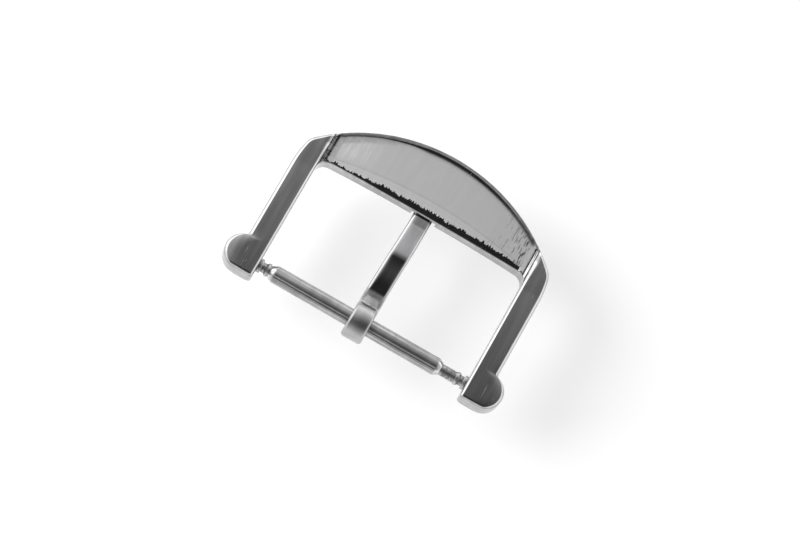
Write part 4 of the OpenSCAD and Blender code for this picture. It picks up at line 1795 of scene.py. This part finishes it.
@dataclass(frozen=True)
class Studio:
    """Camera, floor and light of the photograph.

    The camera looks at the buckle's back from the bar's side, rolled so that +X falls to
    the right. The world is a white tent with a dark gap and a bright panel.
    """

    roll: float = 29.85
    tilt: float = 15.5
    distance: float = 344.4
    focal_px: float = 4104.0
    frame_px: tuple[int, int] = (800, 533)
    origin_px: tuple[float, float] = (362.28, 324.3)
    sensor: float = 36.0
    clip: tuple[float, float] = (0.01, 10.0)
    floor_half: float = 0.6
    floor_z: float = -6.5
    floor_tone: float = 0.6
    floor_glow: float = 0.34
    # The tent's brightness at each angle from the middle of its gap, in degrees
    tent: tuple[tuple[float, float], ...] = (
        (0, 0.03), (12, 0.03), (18, 0.06), (27, 0.14), (31, 0.19), (35, 0.27), (46, 0.52),
        (60, 0.75), (72, 1.1), (84, 1.55), (108, 1.55), (124, 1.1), (180, 1.1),
    )
    # Directions as shares of the picture's right, its up and the way to the camera
    panel_at: tuple[float, float, float] = (-0.494, 0.719, 0.489)
    panel_edge: float = 54.0
    panel_core: float = 20.0
    panel_strength: float = 1.1
    lamp_at: tuple[float, float, float] = (-0.74, 0.4, 0.54)
    lamp_away: float = 0.6
    lamp_size: float = 0.5
    lamp_watts: float = 4.4

    def axes(self) -> tuple[Vector, Vector, Vector]:
        """Works out the camera's directions.

        Returns:
            Right, up and backward directions.
        """
        a, t = math.radians(self.roll), math.radians(self.tilt)
        x = Vector((1, 0, 0))
        u = Vector((0, math.cos(t), math.sin(t)))
        back = Vector((0, -math.sin(t), math.cos(t)))
        return math.cos(a) * x + math.sin(a) * u, -math.sin(a) * x + math.cos(a) * u, back

    def toward(self, parts: tuple[float, float, float]) -> Vector:
        """Direction given as shares of the camera's right, up and backward directions."""
        right, up, back = self.axes()
        return (parts[0] * right + parts[1] * up + parts[2] * back).normalized()

    def make_camera(self) -> None:
        """Makes the scene's camera at the photograph's angle."""
        right, up, back = self.axes()
        scale = self.distance / self.focal_px
        offset = (self.frame_px[0] / 2 - self.origin_px[0]) * scale * right
        offset += (self.origin_px[1] - self.frame_px[1] / 2) * scale * up
        data = bpy.data.cameras.new("camera")
        data.sensor_width = self.sensor
        data.lens = self.focal_px * self.sensor / self.frame_px[0]
        data.clip_start, data.clip_end = self.clip
        camera = add_object("camera", data)
        turn = Matrix((right, up, back)).transposed().to_4x4()
        camera.matrix_world = Matrix.Translation((offset + back * self.distance) * MM) @ turn
        bpy.context.scene.camera = camera

    def make_world(self) -> None:
        """Makes the light tent: a dark gap, pale all round, with a bright panel."""
        world = bpy.data.worlds.new("tent")
        bpy.context.scene.world = world
        world.use_nodes = True
        world.node_tree.nodes.clear()
        wire = Wiring(world.node_tree)
        tent = wire.node("ShaderNodeFloatCurve")
        curve = tent.mapping.curves[0]
        for degrees, value in self.tent:
            curve.points.new(degrees / 180, value)
        curve.points.remove(curve.points[0])
        tent.mapping.update()
        gap = self.degrees_from(wire, self.axes()[2])
        wire.feed(tent, Value=wire.math("DIVIDE", gap, 180.0))
        away = self.degrees_from(wire, self.toward(self.panel_at))
        panel = wire.between(away, self.panel_edge, self.panel_core, 0.0, self.panel_strength)
        sky = wire.feed(
            wire.node("ShaderNodeBackground"), Color=wire.math("ADD", tent.outputs[0], panel)
        )
        wire.feed(wire.node("ShaderNodeOutputWorld"), Surface=sky.outputs[0])

    def degrees_from(self, wire: Wiring, direction: Vector) -> Socket:
        """Angle between the looked-at point of the world and a direction.

        Args:
            wire: The world's wiring.
            direction: Direction that the angle is counted from.

        Returns:
            Output of the angle in degrees.
        """
        seen = wire.node("ShaderNodeTexCoord").outputs["Generated"]
        dot = wire.vector("DOT_PRODUCT", seen, tuple(direction)).outputs["Value"]
        return wire.math("DEGREES", wire.math("ARCCOSINE", dot))

    def make_floor(self) -> None:
        """Makes the pale floor under the buckle."""
        mesh = bpy.data.meshes.new("floor")
        half, z = self.floor_half, self.floor_z * MM
        corners = [(-half, -half, z), (half, -half, z), (half, half, z), (-half, half, z)]
        mesh.from_pydata(corners, [], [(0, 1, 2, 3)])
        mat = bpy.data.materials.new("white_floor")
        mat.use_nodes = True
        mat.node_tree.nodes.clear()
        wire = Wiring(mat.node_tree)
        diffuse = wire.feed(wire.node("ShaderNodeBsdfDiffuse"), Color=grey(self.floor_tone))
        path = wire.node("ShaderNodeLightPath").outputs
        shown = wire.math("ADD", path["Is Camera Ray"], path["Is Glossy Ray"])
        shown = wire.math("ADD", shown, path["Is Transmission Ray"])
        glow = wire.feed(
            wire.node("ShaderNodeEmission"), Strength=wire.times(shown, self.floor_glow)
        )
        both = wire.fill(wire.node("ShaderNodeAddShader"), diffuse.outputs[0], glow.outputs[0])
        wire.feed(wire.node("ShaderNodeOutputMaterial"), Surface=both.outputs[0])
        mesh.materials.append(mat)
        add_object("floor", mesh)

    def make_lamp(self) -> None:
        """Makes one large soft lamp at the upper left of the picture."""
        data = bpy.data.lights.new("softbox", "AREA")
        data.shape = "DISK"
        data.size = self.lamp_size
        data.energy = self.lamp_watts
        lamp = add_object("softbox", data)
        lamp.location = self.toward(self.lamp_at) * self.lamp_away
        lamp.visible_glossy = False
        lamp.rotation_mode = "QUATERNION"
        lamp.rotation_quaternion = lamp.location.to_track_quat("Z", "Y")


# Assembly


def main() -> None:
    """Builds the studio and the buckle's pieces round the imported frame."""
    logging.basicConfig(level=logging.INFO, format="%(message)s")
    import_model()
    bpy.context.scene.view_settings.view_transform = "Standard"
    studio = Studio()
    studio.make_camera()
    studio.make_world()
    studio.make_lamp()
    studio.make_floor()

    effects = SurfaceEffects()
    dull_wear = Coat(0.8, 0.6, 0.06)
    frame_finish = FrameFinish(
        "frame_steel", effects, roughness=0.09, worn_coat=Coat(0.8, 0.68, 0.06),
        cloud=(2100.0, 170.0, 900.0), cloud_amount=0.11,
    )
    # The tang's edge coat is dark: painted shade along its edges
    tang_finish = TangFinish(
        "tang_steel", effects, roughness=0.075, worn_coat=Coat(0.8, 0.3, 0.06),
        line_coat=Coat(0.0, 0.1, 0.06), lines=Lines((7000.0, 600.0, 600.0), 0.66, 0.74),
    )
    tube_finish = TubeFinish(
        "tube_steel", effects, color=grey(0.42), roughness=0.3, worn_coat=dull_wear,
        line_coat=Coat(0.45, 0.1, 0.1), lines=Lines((200.0, 6500.0, 6500.0), 0.4, 0.62),
    )
    plunger_finish = SteelFinish(
        "plunger_steel", effects, color=grey(0.4), roughness=0.34, worn_coat=dull_wear,
        line_coat=Coat(0.6, 0.1, 0.1), lines=Lines((7500.0, 2200.0, 2200.0), 0.42, 0.6),
    )
    wire_finish = SteelFinish(
        "spring_wire", effects, color=grey(0.5), roughness=0.28,
        lines=Lines((2500.0, 2500.0, 2500.0), 0.66, 0.74),
    )

    frame, tang, bar = BuckleFrame(), Tang(), SpringBar()
    left, right = Side
    plan = [
        (frame, frame.build(), frame_finish, "frame", "frame", "frame_steel"),
        (tang, tang.build(), tang_finish, "tang", "tang", "tang_steel"),
        (bar, bar.build_tube(), tube_finish, "tube", "tube", "tube_steel"),
        (bar, bar.build_plunger(left), plunger_finish,
         "left_plunger", "left_plunger", "plunger_steel"),
        (bar, bar.build_plunger(right), plunger_finish,
         "right_plunger", "right_plunger", "plunger_steel"),
        (bar, bar.build_coil(left), wire_finish, "spring", "return_spring", "spring_steel"),
        (bar, bar.build_coil(right), wire_finish, "right_plunger", "return_spring", "spring_steel"),
    ]
    for assembly, obj, finish, body, node, slot in plan:
        assembly.dress(obj, finish)
        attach(obj, body)
        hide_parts(node)
        LOG.info("%s: %d vertices on %s", obj.name, len(obj.data.vertices), body)
    for (_, obj, *_), side in zip(plan[-2:], Side):
        bar.shorten(obj, side)


if __name__ == "__main__":
    main()
